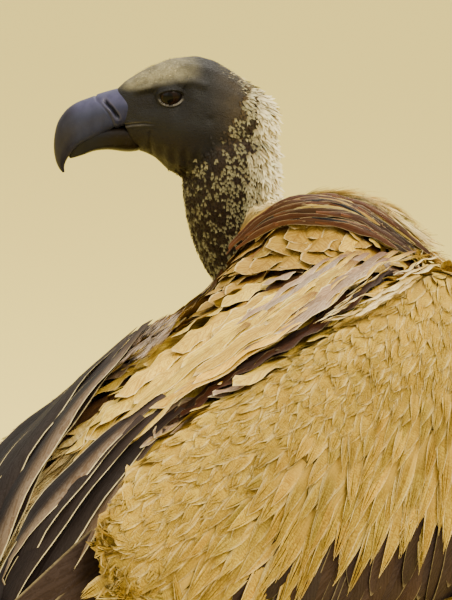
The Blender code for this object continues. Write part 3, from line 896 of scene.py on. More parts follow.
class Skin:
    """The finished skin as arrays: what the coat is laid on."""

    def __init__(self, mesh, solids):
        self.tree = mesh_tree(mesh)
        self.co = read(mesh, "vertices", "co", 3)
        self.normals = vertex_normals(mesh)
        self.triangles = read(mesh, "loop_triangles", "vertices", 3, np.int32)
        loops = read(mesh, "loop_triangles", "loops", 3, np.int32)
        uv = read(mesh.uv_layers["OFBake"], "uv", "vector", 2)
        self.corner_uv = uv[loops]
        corners = self.co[self.triangles]
        cross = np.cross(corners[:, 1] - corners[:, 0], corners[:, 2] - corners[:, 0])
        self.area = np.linalg.norm(cross, axis=1) / 2
        self.centre = corners.mean(axis=1)
        self.facing = unit(cross)
        self.label = solids.labels(self.centre)
        self.body = inverse(BODY, self.centre)
        self.head = inverse(HEAD, self.centre)

    def map_places(self, points):
        """Where the skin nearest to each point is on the skin's map."""
        near = [self.tree.find_nearest(point)[2] for point in points.tolist()]
        return self.corner_uv[near].mean(axis=1)

    def nearest(self, points):
        """The skin's nearest points and smooth normals."""
        found = [self.tree.find_nearest(point) for point in points.tolist()]
        return np.array([hit[0] for hit in found]), np.array([hit[1] for hit in found])

    def scatter(self, chosen, spacing, seed, squash=(1, 1, 1)):
        """Roots on the chosen triangles, a spacing or more apart; squash shortens the body's axes."""
        rng = np.random.default_rng(seed)
        picks = np.flatnonzero(chosen)
        area = self.area[picks]
        count = int(6 * np.prod(squash) * area.sum() / spacing**2)
        tri = picks[rng.choice(len(picks), count, p=area / area.sum())]
        a, b = np.sqrt(rng.random(count)), rng.random(count)
        weights = np.stack([1 - a, a * (1 - b), a * b], axis=1)[:, :, None]
        places = (self.co[self.triangles[tri]] * weights).sum(axis=1)
        keep = spaced(inverse(BODY, places) * squash, spacing)
        tri, weights = tri[keep], weights[keep]
        normals = unit((self.normals[self.triangles[tri]] * weights).sum(axis=1))
        return Roots(places[keep], normals, (self.corner_uv[tri] * weights).sum(axis=1))


class Roots:
    """Feather roots: places, skin normals and their places on the skin's map."""

    def __init__(self, place, normal, uv):
        self.place, self.normal, self.uv = place, normal, uv
        self.body = inverse(BODY, place)
        self.head = inverse(HEAD, place)

    def __len__(self):
        return len(self.place)

    def only(self, chosen):
        return Roots(self.place[chosen], self.normal[chosen], self.uv[chosen])


def unwrap(made):
    """The skin's own map, which the coat's patches also use."""
    made.data.uv_layers.new(name="OFBake")
    bpy.ops.object.select_all(action="DESELECT")
    made.select_set(True)
    bpy.context.view_layer.objects.active = made
    bpy.ops.object.mode_set(mode="EDIT")
    bpy.ops.mesh.select_all(action="SELECT")
    bpy.ops.uv.smart_project(angle_limit=math.radians(66), island_margin=0.001)
    bpy.ops.object.mode_set(mode="OBJECT")
    made.select_set(False)


def smooth_flesh(mesh, solids):
    """Smooths the joined solids, freely where the coat hides them and evenly where the skin is bare."""
    co, edges = points_and_edges(mesh)
    labels = solids.labels(co)
    bare, legs = is_part(labels, *BARE), is_part(labels, *LEGS)
    co = relax(co, edges, np.where(legs, 0.4, 1.0), 8, EVEN)
    co = relax(co, edges, np.where(bare, 0.0, 1.0), 22)
    put(mesh, relax(co, edges, np.where(bare & ~legs, 1.0, 0.0), 14, EVEN))
    return ~bare


def draw_in(mesh, solids):
    """Moves the skin inside the solids by the depth of the coat, or less where a limb is thin."""
    co, edges = points_and_edges(mesh)
    normals = vertex_normals(mesh)
    labels = solids.labels(co)
    whole = mesh_tree(mesh)
    depth = coat_depth(labels)
    for index in np.flatnonzero(depth > 0.002):
        inward = -Vector(normals[index])
        hit = whole.ray_cast(Vector(co[index]) + inward * 0.0005, inward, 0.06)
        if hit[0] is not None:
            depth[index] = min(depth[index], hit[3] * THIN)
    co = co - normals * relax(depth[:, None], edges, np.ones(len(co)), 6)
    put(mesh, relax(co, edges, np.where(is_part(labels, *BARE), 0.0, 1.0), 3))


def near_features(local):
    """Whether points of the head are near an eye or one of its finer lines."""
    near = np.hypot(local[:, 0], local[:, 2]) < 13
    for line, far in ((BROW, 3.0), (GAPE, 2.6), (CHEEK_FOLD, 1.8)):
        near |= from_line(local[:, [0, 2]], line) < far
    return near


def refine_bare(mesh, solids):
    """Smaller faces on the head and legs, and smaller still on the face's features; returns the points."""
    for fine in (False, True):
        co = read(mesh, "vertices", "co", 3)
        labels = solids.labels(co)
        if fine:
            chosen = is_part(labels, "head") & near_features(inverse(HEAD, co))
        else:
            chosen = is_part(labels, "head", *LEGS)
        refine(mesh, chosen)
        co, edges = points_and_edges(mesh)
        co = relax(co, edges, np.where(is_part(solids.labels(co), "head"), 1.0, 0.3), 4, EVEN)
        put(mesh, co)
    return co


def make_skin(sizes, colours):
    """One skin over all the flesh, inside it by the depth of the coat."""
    solids = Solids()
    mesh = remeshed(joined_flesh())
    covered = smooth_flesh(mesh, solids)
    mesh = thinned(mesh, covered, sizes.thinning)
    draw_in(mesh, solids)
    co = refine_bare(mesh, solids)
    normals = vertex_normals(mesh)
    labels = solids.labels(co)
    head = is_part(labels, "head")
    shaped = np.where(head[:, None], sculpt_head(co, normals), toe_ridges(co, normals, labels))
    put(mesh, shaped)
    paint(mesh, "tone", skin_tones(shaped, labels, colours))
    grade(mesh, "scaly", is_part(labels, *LEGS))
    made = add_object("skin", mesh, skin_material())
    unwrap(made)
    MADE["skin"] = Skin(mesh, solids)
    return finish_piece(made, "face_skin", *FLESH)


# Feathers


def merged(parts):
    """Several parts of a feather as one template: along, across, up, faces and place across from -1 to 1."""
    found, start = [], 0
    for along, across, up, faces, place in parts:
        found.append((along, across, up, faces + start, place))
        start += len(along)
    return tuple(np.concatenate(values) for values in zip(*found))


def ladder(along, across, up, place):
    """A strip of quads; each array holds the two points of every rung."""
    along, across, up, place = (np.asarray(values, float).ravel() for values in (along, across, up, place))
    rung = 2 * np.arange(len(along) // 2 - 1)
    return along, across, up, np.stack([rung, rung + 1, rung + 3, rung + 2], axis=1), place


def outline(t, point, root=0.4):
    """Half the width of a vane: a rounded tip where point is under 1, and a drawn-out one over it."""
    widening = root + (1 - root) * ramp(t, 0, 0.4)
    return widening * np.maximum(1 - np.clip(t, 0, 1) ** (7 / point), 0.0) ** (0.5 * point)


def blade(rows, columns, point=1.0, root=0.4, camber=0.18, curl=0.0, rng=None, fray=0.0):
    """A firm vane. Curl lifts one edge; fray cuts into the edges where the barbs part."""
    t = np.linspace(0, 1, rows) ** 0.85
    half = np.maximum(outline(t, point, root), 0.05)
    along, across = np.meshgrid(t, np.linspace(-1, 1, columns), indexing="ij")
    width = across * half[:, None]
    if rng is not None:
        width[:, [0, -1]] *= 1 + rng.uniform(-fray, fray * 0.4, (rows, 2)) * ramp(t, 0.3, 0.6)[:, None]
        parting = 0.05 * fray * rng.uniform(-1, 1, along.shape) * (t > 0.5)[:, None]
        along = np.clip(along + parting, 0, 1)
    up = (-camber * across**2 + curl * np.maximum(across, 0) ** 2) * half[:, None]
    first = np.arange(rows - 1)[:, None] * columns + np.arange(columns - 1)
    faces = first.reshape(-1, 1) + np.array([0, 1, columns + 1, columns])
    return along.ravel(), width.ravel(), up.ravel(), faces, across.ravel()


def waved(template, waves, depth, phase):
    """The template with its edges waving up and down."""
    along, across, up, faces, place = template
    up = up + depth * np.sin(waves * along + phase + 0.6 * place) * np.abs(across)
    return along, across, up, faces, place


def waved_blades(shapes, rng, rows, columns, root, fray, waves, depth):
    """Firm vanes with waving edges, one for each point, camber, curl and phase."""
    return [
        waved(blade(rows, columns, point, root, camber, curl, rng, fray), waves, depth, phase)
        for point, camber, curl, phase in shapes
    ]


def lock(rng, strands, rungs, point, lift=0.06, camber=0.2):
    """A soft feather: strands side by side, drawn together towards the tip, each ending where it likes."""
    parts = []
    s = np.linspace(0, 1, rungs)
    for place in np.linspace(-1, 1, strands):
        t = s * (1 - rng.uniform(0.0, 0.3) * (0.3 + abs(place)))
        half = np.maximum(outline(t, point, 0.5), 0.04)
        line = np.clip(place + rng.normal(0, 0.1) * s, -1, 1) * half
        width = 1.7 / strands * (1 - s**4) * half + STRAND
        up = -camber * line**2 + rng.uniform(-lift, lift) * (0.4 + s)
        across = np.stack([line - width, line + width], axis=1)
        pair = np.full((rungs, 2), place)
        parts.append(ladder(np.stack([t, t], axis=1), across, np.stack([up, up], axis=1), pair))
    return merged(parts)


def tuft(rng, strands, rungs, spread, width, rise=0.9):
    """A tuft of down: thin strands from one root."""
    parts = []
    for place in np.linspace(-1, 1, strands):
        t = np.linspace(0, rng.uniform(0.65, 1.0), rungs)
        widths = width * (1 - np.linspace(0, 1, rungs) ** 1.5) + STRAND
        line = place * spread * rng.uniform(0.6, 1.2) * t**1.5
        up = np.repeat((rng.uniform(0.0, rise) * t)[:, None], 2, axis=1)
        across = np.stack([line - widths, line + widths], axis=1)
        parts.append(ladder(np.stack([t, t], axis=1), across, up, np.tile([-1.0, 1.0], (rungs, 1))))
    return merged(parts)


def lie_of(points, matrix=BODY, guides=LIE):
    """Which way the coat lies at points of the world, from the guides near them."""
    local = inverse(matrix, points)
    side = np.where(local[:, 0] < 0, -1.0, 1.0)
    local[:, 0] = np.abs(local[:, 0])
    places = np.array([place for place, _ in guides])
    ways = unit(np.array([way for _, way in guides]))
    far = np.linalg.norm(local[:, None] - places[None], axis=2)
    weight = 1 / (far + 0.012) ** 3
    way = unit((weight[:, :, None] * ways[None]).sum(axis=1))
    way[:, 0] *= side
    return turned(matrix, way)


def lay(skin, roots, way, length, steps, root_lift, tip_lift, cling):
    """Marches from each root along the skin; returns the centre lines and the normals along them.

    A feather that would dip under its height is pushed up to it, and one that would rise over it comes down
    by the share that cling gives.
    """
    count = len(roots)
    length = np.broadcast_to(length, count).astype(float)
    tip_lift = np.broadcast_to(tip_lift, count).astype(float)
    step = (length / steps)[:, None]
    place = roots.place + roots.normal * root_lift
    normal = roots.normal
    way = unit(way - normal * (way * normal).sum(axis=1, keepdims=True))
    line, ups = [place], [normal]
    for index in range(1, steps + 1):
        ahead = place + way * step
        near, facing = skin.nearest(ahead)
        gap = ((ahead - near) * facing).sum(axis=1)
        height = root_lift + (tip_lift - root_lift) * (index / steps) ** 1.2
        push = height - gap
        push = np.where(push > 0, push, push * cling)
        ahead = ahead + facing * push[:, None]
        way = unit(ahead - place)
        place = place + way * step
        normal = unit(normal * 0.5 + facing * 0.5)
        line.append(place)
        ups.append(normal)
    return np.stack(line, axis=1), np.stack(ups, axis=1)


def at(line, t):
    """Places along centre lines at the fractions t."""
    steps = line.shape[1] - 1
    scaled = np.clip(t, 0, 1) * steps
    low = np.minimum(scaled.astype(int), steps - 1)
    part = (scaled - low)[None, :, None]
    return line[:, low] * (1 - part) + line[:, low + 1] * part


def dress(name, batches, material, slot, patch, nodes=()):
    """One coat piece from batches of feathers: (template, lines, ups, half widths, tones, root map places).

    Each feather's patch of the map "OFBake" is that wide, round the place of its root.
    """
    points, faces, vane, bake, tones, start = [], [], [], [], [], 0
    for (along, across, up, quads, place), line, ups, half, tone, uv in batches:
        count = len(line)
        if not count:
            continue
        heading = at(unit(np.gradient(line, axis=1)), along)
        side = unit(np.cross(heading, at(ups, along)))
        lift = np.cross(side, heading)
        half = np.broadcast_to(half, count)[:, None, None]
        co = at(line, along) + side * (across[None, :, None] * half) + lift * (up[None, :, None] * half)
        points.append(co.reshape(-1, 3))
        offsets = np.arange(count)[:, None, None] * len(along) + start
        faces.append((quads[None] + offsets).reshape(-1, 4))
        start += count * len(along)
        own = np.stack([along, 0.5 + 0.5 * place], axis=1)
        vane.append(np.tile(own, (count, 1)))
        bake.append((uv[:, None] + (own[None] - 0.5) * patch).reshape(-1, 2))
        tones.append(tone.reshape(-1, 3) if tone.ndim == 3 else np.repeat(tone, len(along), axis=0))
    mesh = bpy.data.meshes.new(name)
    mesh.from_pydata(np.concatenate(points).tolist(), [], np.concatenate(faces).tolist())
    corners = read(mesh, "loops", "vertex_index", 1, np.int32)
    for layer, values in (("vane", vane), ("OFBake", bake)):
        made = mesh.uv_layers.new(name=layer)
        made.uv.foreach_set("vector", np.concatenate(values)[corners].astype(np.float32).ravel())
    paint(mesh, "tone", np.concatenate(tones))
    return finish_piece(add_object(name, mesh, material), slot, *nodes)


def swing(way, normal, angle):
    """Turns each direction about its normal."""
    return way * np.cos(angle)[:, None] + np.cross(normal, way) * np.sin(angle)[:, None]


def varied(rng, base, count, spread=0.10):
    """A tone for each feather: the base, lighter or darker, and a little redder or greyer."""
    light = 1 + rng.normal(0, spread, (count, 1))
    warm = rng.normal(0, spread * 0.35, (count, 1)) * np.array([[1.0, 0.1, -1.0]])
    return np.clip(np.asarray(base) * light * (1 + warm), 0.002, 0.95)


def split(templates, share, *values):
    """A batch for each template, of the feathers that are its share."""
    return [(made, *(value[share == index] for value in values)) for index, made in enumerate(templates)]


def shared(rng, templates, roots, line, ups, half, tones):
    """Shares the feathers out among the templates, each rolled a little about its shaft."""
    way = unit(line[:, -1] - line[:, 0])[:, None]
    ups = unit(ups + np.cross(way, ups) * rng.normal(0, 0.16, len(line))[:, None, None])
    share = rng.integers(0, len(templates), len(line))
    return split(templates, share, line, ups, np.broadcast_to(half, len(line)), tones, roots.uv)


def laid(skin, roots, rng, templates, tones, length, half, lift, steps, jitter, cling, way=None):
    """Lays a feather on each root, the way the coat lies there unless told otherwise."""
    way = lie_of(roots.place) if way is None else way
    way = swing(way, roots.normal, rng.normal(0, jitter, len(roots)))
    length = np.broadcast_to(length, len(roots)) * rng.uniform(0.86, 1.14, len(roots))
    half = np.broadcast_to(half, len(roots)) * rng.uniform(0.88, 1.12, len(roots))
    lift = np.broadcast_to(lift, len(roots)) * rng.uniform(0.7, 1.3, len(roots))
    line, ups = lay(skin, roots, way, length, steps, 0.0008, lift, cling)
    return shared(rng, templates, roots, line, ups, half, tones)


def draped(skin, inner, outer, share, span, height, drop, steps=14):
    """Lines between an inner and an outer guide, each over its own span of them, held clear of the skin."""
    t = span[:, :1] + (span[:, 1:] - span[:, :1]) * np.linspace(0, 1, steps + 1)
    path = []
    for guide in (forward(BODY, inner), forward(BODY, outer)):
        reach = np.concatenate([[0], np.cumsum(np.linalg.norm(np.diff(guide, axis=0), axis=1))])
        path.append(np.stack([np.interp(t, reach / reach[-1], guide[:, axis]) for axis in range(3)], axis=2))
    share = share[:, None, None]
    line = path[0] * (1 - share) + path[1] * share
    near, facing = (found.reshape(line.shape) for found in skin.nearest(line.reshape(-1, 3)))
    gap = ((line - near) * facing).sum(axis=2, keepdims=True)
    push = height[:, None, None] - gap
    line = line + facing * np.where(push > 0, push, push * drop)
    for _ in range(3):
        for values in (line, facing):
            values[:, 1:-1] = (values[:, :-2] + 2 * values[:, 1:-1] + values[:, 2:]) / 4
    return line, unit(facing)


def combed(skin, rng, templates, guides, tones, start, reach, half, height, tilt=0.0, drop=0.25):
    """Long feathers side by side between two guides, one for each tone.

    Start, reach and half are ranges to draw from. The height runs from the inner guide to the outer one, and
    drop is how far a feather that rises over it comes down. The tilt raises the edge on the right.
    """
    count = len(tones)
    share = (np.arange(count) + rng.uniform(0.2, 0.8, count)) / count
    begin = rng.uniform(*start, count)
    span = np.stack([begin, np.minimum(begin + rng.uniform(*reach, count), 1)], axis=1)
    heights = height[0] + (height[1] - height[0]) * share + rng.normal(0, 0.0007, count)
    line, ups = draped(skin, *guides, share, span, heights, drop)
    heading = unit(line[:, -1] - line[:, 0])[:, None]
    ups = unit(ups + np.cross(heading, ups) * tilt * rng.uniform(0.5, 1.5, count)[:, None, None])
    half, pick = rng.uniform(*half, count), rng.integers(0, len(templates), count)
    return split(templates, pick, line, ups, half, tones, skin.map_places(line[:, 0]))


def mirrored(guides, sign):
    """The guides on the other side, or nearer to the middle where the sign is a fraction."""
    return [np.array(guide) * (sign, 1, 1) for guide in guides]


def materials(colours):
    """The coat's materials, made once."""
    if "materials" not in MADE:
        cream, chestnut, dark = tuple(colours.cream), tuple(colours.chestnut), tuple(colours.flight)
        vanes = {
            "tile": ("mantle_feather", (0.84, 0.97, 0.35), chestnut, (0.12, 0.5), 0.62),
            "long": ("shoulder_feather", (0.84, 0.97, 0.5), chestnut, (-0.05, 0.14), 0.62),
            "hackle": ("mantle_hackle", (0.84, 0.97, 0.25), chestnut, (-0.05, 0.2), 0.55),
            "soft": ("covert_feather", (0.60, 1.0, 0.25), tuple(colours.shade), (0.05, 0.5), 0.8),
            "flight": ("flight_feather", (0.90, 0.99, 0.14), dark, (0.1, 0.5), 0.7),
            "tertial": ("tertial_feather", (0.90, 0.98, 0.7), dark, (0.0, 0.2), 0.72),
        }
        coat = {kind: feather_material(name, cream, *finish) for kind, (name, *finish) in vanes.items()}
        MADE["materials"] = {**coat, "down": down_material()}
    return MADE["materials"]


def coat_tones(colours, roots, rng, spread=0.09):
    """The body feathers' colours: straw above, paler below, cream on the lower back."""
    x, y, z = roots.body.T
    tone = np.tile(np.array(colours.straw), (len(roots), 1))
    tone = blend_in(tone, 0.7 * ramp(-z, -0.36, -0.26), colours.buff)
    tone = blend_in(tone, 0.9 * ramp(y, 0.10, 0.17) * (np.abs(x) < 0.06) * (z > 0.36), colours.cream)
    return varied(rng, 1.0, len(roots), spread) * tone


# Down


def head_lie(roots):
    """Down on the head lies back from the bill and then down."""
    back = ramp(-roots.head[:, 0], 10, 45)
    local = np.stack([-np.ones(len(roots)), np.zeros(len(roots)), 0.25 - 1.3 * back], axis=1)
    return turned(HEAD, unit(local))


def neck_lie(roots):
    """Down on the neck points down it, towards the body."""
    path = forward(STANCE, NECK_PATH)
    middles, runs = (path[1:] + path[:-1]) / 2, unit(path[:-1] - path[1:])
    far = np.linalg.norm(roots.place[:, None] - middles[None], axis=2)
    weight = 1 / (far + 0.01) ** 4
    return unit((weight[:, :, None] * runs[None]).sum(axis=1))


def turned_back(roots, low, high):
    """From 0 to 1 as the skin turns from the bill's side to the nape's."""
    return ramp(-(roots.normal @ HEAD_AHEAD), low, high)


def blotch(roots, spots):
    """A number from 0 to 1 for each root, the same for all the roots round one spot."""
    tree = KDTree(len(spots))
    for index, place in enumerate(spots.place.tolist()):
        tree.insert(place, index)
    tree.balance()
    values = np.random.default_rng(5).random(len(spots))
    return np.array([values[tree.find(place)[1]] for place in roots.place.tolist()])


def head_down(skin, rng, hairs, spots, colours):
    """Bristles: short and dark on the face, flecked on the crown, long and pale behind."""
    ahead, out, up = skin.head.T
    bristly = is_part(skin.label, "head") & (ahead < 22) & (lid_distance(ahead, up) > 1.55)
    roots = skin.scatter(bristly, spacing=0.0013, seed=21)
    count = len(roots)
    ahead, out, up = roots.head.T
    above = ramp(up - line_height(ahead, BROW), 0, 5)
    back = turned_back(roots, 0.44, 0.80)
    length = (0.8 + 1.3 * above * ramp(ahead, -14, 4) + 5.0 * back) * MM
    tone = face_tones(roots.head, colours) * 1.15
    fleck = (rng.random(count) < 0.20 * above * ramp(ahead, -16, 0)).astype(float)
    tone = blend_in(tone, 0.7 * fleck, colours.nape)
    spot = (blotch(roots, spots) < 0.9 * ramp(back, 0.0, 0.5)).astype(float)
    tone = blend_in(tone, 0.85 * spot, colours.neck_down)
    pale = (rng.random(count) < 1.2 * back) * rng.uniform(0.6, 1.0, count)
    tone = blend_in(tone, pale, colours.nape) * varied(rng, 1.0, count, 0.16)
    line, ups = lay(skin, roots, head_lie(roots), length, 2, 0.0001, length * 0.30, cling=0.6)
    batches = shared(rng, hairs, roots, line, ups, length * 0.42, tone)
    dress("down_head", batches, materials(colours)["down"], "pale_down", PATCH)


def neck_down(skin, rng, tufts, spots, colours):
    """Small tufts in pale and dark blotches that fade out up the cheek, and longer ones down the nape."""
    border = 4, 14  # how far over and under the mottled line the blotches fade
    under = line_height(skin.head[:, 0], MOTTLED) - skin.head[:, 2]
    neck = is_part(skin.label, "neck") | (is_part(skin.label, "head") & (under > -border[0]))
    roots = skin.scatter(neck, spacing=0.0017, seed=22)
    under = line_height(roots.head[:, 0], MOTTLED) - roots.head[:, 2]
    roots = roots.only(rng.random(len(roots)) < 0.06 + ramp(under, -border[0], border[1]))
    count = len(roots)
    under = line_height(roots.head[:, 0], MOTTLED) - roots.head[:, 2]
    nape = turned_back(roots, 0.38, 0.86)
    behind = turned_back(roots, -0.6, 0.5)
    low = ramp(-roots.place[:, 2], -0.60, -0.53)
    chance = 0.34 + 0.14 * low + 0.36 * behind + 0.6 * nape
    pale = (blotch(roots, spots) < chance * ramp(under, -border[0], border[1])).astype(float)
    length = (2.2 + 1.0 * rng.random(count) + 9.0 * nape * rng.random(count)) * MM
    tone = blend_in(face_tones(roots.head, colours) * 2.4, ramp(under, 0, 30), colours.neck)
    tone = blend_in(tone, pale * rng.uniform(0.5, 0.95, count), colours.neck_down)
    tone = blend_in(tone, nape * pale, colours.nape) * varied(rng, 1.0, count, 0.10)
    way = swing(neck_lie(roots), roots.normal, rng.normal(0, 0.35, count))
    line, ups = lay(skin, roots, way, length, 3, 0.0003, length * (0.14 + 0.30 * nape), cling=0.7)
    batches = shared(rng, tufts, roots, line, ups, length * 0.75, tone)
    dress("down_neck", batches, materials(colours)["down"], "pale_down", PATCH)


def ruff_down(skin, rng, wisps, sizes, colours):
    """Wisps round the root of the neck, on the upper breast, and along the top of the hackles."""
    ruff = is_part(skin.label, "ruff")
    roots = skin.scatter(ruff, spacing=0.0034, seed=23)
    length = rng.uniform(0.020, 0.038, len(roots)) * sizes.ruff
    tone = varied(rng, colours.ruff, len(roots), 0.12)
    way = swing(neck_lie(roots), roots.normal, rng.normal(0, 0.3, len(roots)))
    line, ups = lay(skin, roots, way, length, 5, 0.0006, length * 0.30, cling=0.5)
    batches = shared(rng, wisps, roots, line, ups, length * 0.22, tone)

    breast = is_part(skin.label, "trunk") & (skin.body[:, 1] < -0.072) & (skin.body[:, 2] > 0.500)
    roots = skin.scatter(breast, spacing=0.0060, seed=25)
    length = rng.uniform(0.024, 0.040, len(roots)) * sizes.ruff
    tone = varied(rng, colours.ruff, len(roots), 0.12)
    way = swing(lie_of(roots.place), roots.normal, rng.normal(0, 0.5, len(roots)))
    line, ups = lay(skin, roots, way, length, 5, 0.005, 0.012, cling=0.4)
    batches += shared(rng, wisps, roots, line, ups, length * 0.34, tone)

    tones = varied(rng, colours.ruff, 90, 0.12)
    batches += combed(
        skin, rng, wisps, FUZZ, tones,
        start=(0.0, 0.8), reach=(0.16, 0.26), half=(0.008, 0.013), height=(0.009, 0.012), drop=0.5,
    )
    dress("down_ruff", batches, materials(colours)["down"], "pale_down", PATCH)


def dress_down(sizes, colours):
    """Head bristles, neck tufts, the pale nape and the ruff."""
    skin, rng = MADE["skin"], np.random.default_rng(11)
    hairs = [tuft(rng, 3, 2, spread=0.7, width=0.14) for _ in range(3)]
    tufts = [tuft(rng, 5, 4, spread=0.8, width=0.30, rise=0.5) for _ in range(5)]
    wisps = [tuft(rng, 12, 5, spread=1.0, width=0.035, rise=0.5) for _ in range(5)]
    spots = skin.scatter(is_part(skin.label, "head", "neck"), spacing=0.0028, seed=24)
    head_down(skin, rng, hairs, spots, colours)
    neck_down(skin, rng, tufts, spots, colours)
    ruff_down(skin, rng, wisps, sizes, colours)


# Body


def dress_body(sizes, colours):
    """Breast, belly, thighs, lower back and mantle."""
    skin, rng = MADE["skin"], np.random.default_rng(12)
    soft, tile = materials(colours)["soft"], materials(colours)["tile"]
    plumes = [lock(rng, 11, 5, point=1.5) for _ in range(5)]
    tiles = waved_blades(MANTLE_SHAPES, rng, 9, 7, root=0.6, fray=0.12, waves=9, depth=0.12)
    laying = {"lift": 0.0075, "steps": 4, "jitter": 0.14, "cling": 0.6}
    x, y, z = skin.body.T
    trunk = is_part(skin.label, "trunk")
    own = trunk | is_part(skin.label, "ruff")
    mantle = own & (z > 0.460) & (np.abs(y - 0.042) < 0.118) & (trunk | (x < 0))

    roots = skin.scatter(own & ~mantle, spacing=0.0082, seed=31)
    tones = coat_tones(colours, roots, rng)
    batches = laid(skin, roots, rng, plumes, tones, length=0.042, half=0.0085, **laying)
    dress("feathers_breast", batches, soft, "plumage", PATCH)

    roots = skin.scatter(mantle, spacing=0.0076, seed=32, squash=(1, 0.7, 1))
    tones = coat_tones(colours, roots, rng, 0.16)
    y = roots.body[:, 1]
    # Painted shade: the mantle feathers under the hackles and the fuzz collar are darkened towards chestnut.
    chestnut = 0.45 * ramp(-y, -0.09, -0.02) * ramp(y, -0.10, -0.07)
    tones = blend_in(tones, chestnut, np.array(colours.chestnut) * 1.6)
    batches = laid(
        skin, roots, rng, tiles, tones,
        length=0.031 * sizes.mantle, half=0.0094, lift=0.0062, steps=6, jitter=0.12, cling=0.6,
    )
    dress("feathers_mantle", batches, tile, "plumage", MANTLE_PATCH)

    for side, sign in SIDES.items():
        roots = skin.scatter(is_part(skin.label, "thigh_" + side), spacing=0.0072, seed=33 + sign)
        tones = varied(rng, colours.buff, len(roots))
        batches = laid(skin, roots, rng, plumes, tones, length=0.030, half=0.0062, **laying)
        dress("feathers_thigh_" + side, batches, soft, "plumage", PATCH)


# Shoulders and hump


def shoulder_tones(colours, rng, count, share=0.16, spread=0.10):
    """Straw feathers with a share of grey-mauve ones among them."""
    grey = (rng.random(count) < share)[:, None]
    mauve, straw = (varied(rng, tone, count, spread) for tone in (colours.mauve, colours.straw))
    return np.where(grey, mauve, straw)


def shoulder(skin, side, sizes, colours):
    """The long feathers of one shoulder, and near-black brown ones laid in the crease under them as painted
    shade.

    The near shoulder is the right one. The far one's feathers are shorter and lie flatter.
    """
    sign = SIDES[side]
    near = sign < 0
    rng = np.random.default_rng(41 + sign)
    blades = waved_blades(SCAPULAR_SHAPES, rng, 15, 7, root=0.5, fray=0.16, waves=17, depth=0.22)
    own = is_part(skin.label, "scapulars_" + side) & (skin.body[:, 1] < (0.13 if near else 0.06))
    roots = skin.scatter(own, spacing=0.0090, seed=42, squash=(1, 0.45, 1))
    rearward = ramp(roots.body[:, 1], -0.06, 0.08)
    length = (0.034 + (0.050 if near else 0.026) * rearward) * sizes.scapulars
    tones = shoulder_tones(colours, rng, len(roots))
    batches = laid(
        skin, roots, rng, blades, tones, length,
        half=0.0060 + 0.0022 * rearward, lift=0.0060 - 0.0015 * sign, steps=9, jitter=0.07, cling=0.35,
    )
    batches += combed(
        skin, rng, blades, mirrored(LONG_SCAPULARS, -1 if near else 0.62),
        shoulder_tones(colours, rng, 30, 0.30, 0.2),
        start=(0.0, 0.5 if near else 0.28),
        reach=(0.34, 0.5),
        half=(0.0045, 0.0068),
        height=(0.010, 0.0165) if near else (0.007, 0.009),
        tilt=0.32,
        drop=0.25 if near else 0.8,
    )
    dress("feathers_scapulars_" + side, batches, materials(colours)["long"], "plumage", LONG_PATCH)
    # Painted shade: dark feathers laid along the crease, where it lies in shadow.
    batches = combed(
        skin, rng, blades, mirrored(UNDER_SCAPULARS, -1 if near else 0.8),
        varied(rng, CREASE_SHADE_BROWN, 16, 0.3),
        start=(0.0, 0.6),
        reach=(0.30, 0.42),
        half=(0.0050, 0.0070),
        height=(0.0080, 0.0090) if near else (0.004, 0.005),
        drop=0.25 if near else 0.9,
    )
    dress("feathers_crease_" + side, batches, materials(colours)["flight"], "plumage", LONG_PATCH)


def hackles(skin, rng, narrow, colours):
    """Narrow chestnut and straw feathers arching over the hump."""
    count = 84
    brown = varied(rng, HACKLE_BROWN, count, 0.5)
    straw = varied(rng, np.array(colours.straw) * 0.6, count, 0.2)
    tones = np.where(rng.random((count, 1)) < 0.16, straw, brown)
    batches = combed(
        skin, rng, narrow, HACKLE_ARCS, tones,
        start=(0.0, 0.62), reach=(0.30, 0.46), half=(0.0016, 0.0030), height=(0.0105, 0.0120),
        tilt=0.6, drop=0.6,
    )
    dress("feathers_hackles", batches, materials(colours)["hackle"], "plumage", MANTLE_PATCH)


def tertials(skin, rng, colours):
    """Long dark feathers where each wing meets the back, every fourth one silvery along an edge."""
    vanes = waved_blades(TERTIAL_SHAPES, rng, 28, 9, root=0.4, fray=0.04, waves=23, depth=0.09)
    place = vanes[0][-1]
    for name, guides, count, shape in (
        ("near", NEAR_TERTIALS, 5, {
            "start": (0.06, 0.18), "reach": (0.70, 0.82), "half": (0.0080, 0.0100), "height": (0.014, 0.007),
            "tilt": 0.22,
        }),
        ("far", FAR_TERTIALS, 11, {
            "start": (0.0, 0.08), "reach": (0.76, 0.92), "half": (0.0100, 0.0130), "height": (0.018, 0.006),
            "tilt": 0.1,
        }),
    ):
        tones = np.repeat(varied(rng, TERTIAL_BLACK, count, 0.2)[:, None], len(place), axis=1)
        strength = np.where(np.arange(count) % 4 == 0, 0.55, 0.02)[:, None, None]
        silver = strength * ramp(-place, -0.2, 0.9)[None, :, None]
        tones = tones + silver * (np.array(colours.mauve) - tones)
        batches = combed(skin, rng, vanes, guides, tones, drop=0.7, **shape)
        kind = materials(colours)["tertial"]
        dress("feathers_tertials_" + name, batches, kind, "flight_feather", LONG_PATCH)


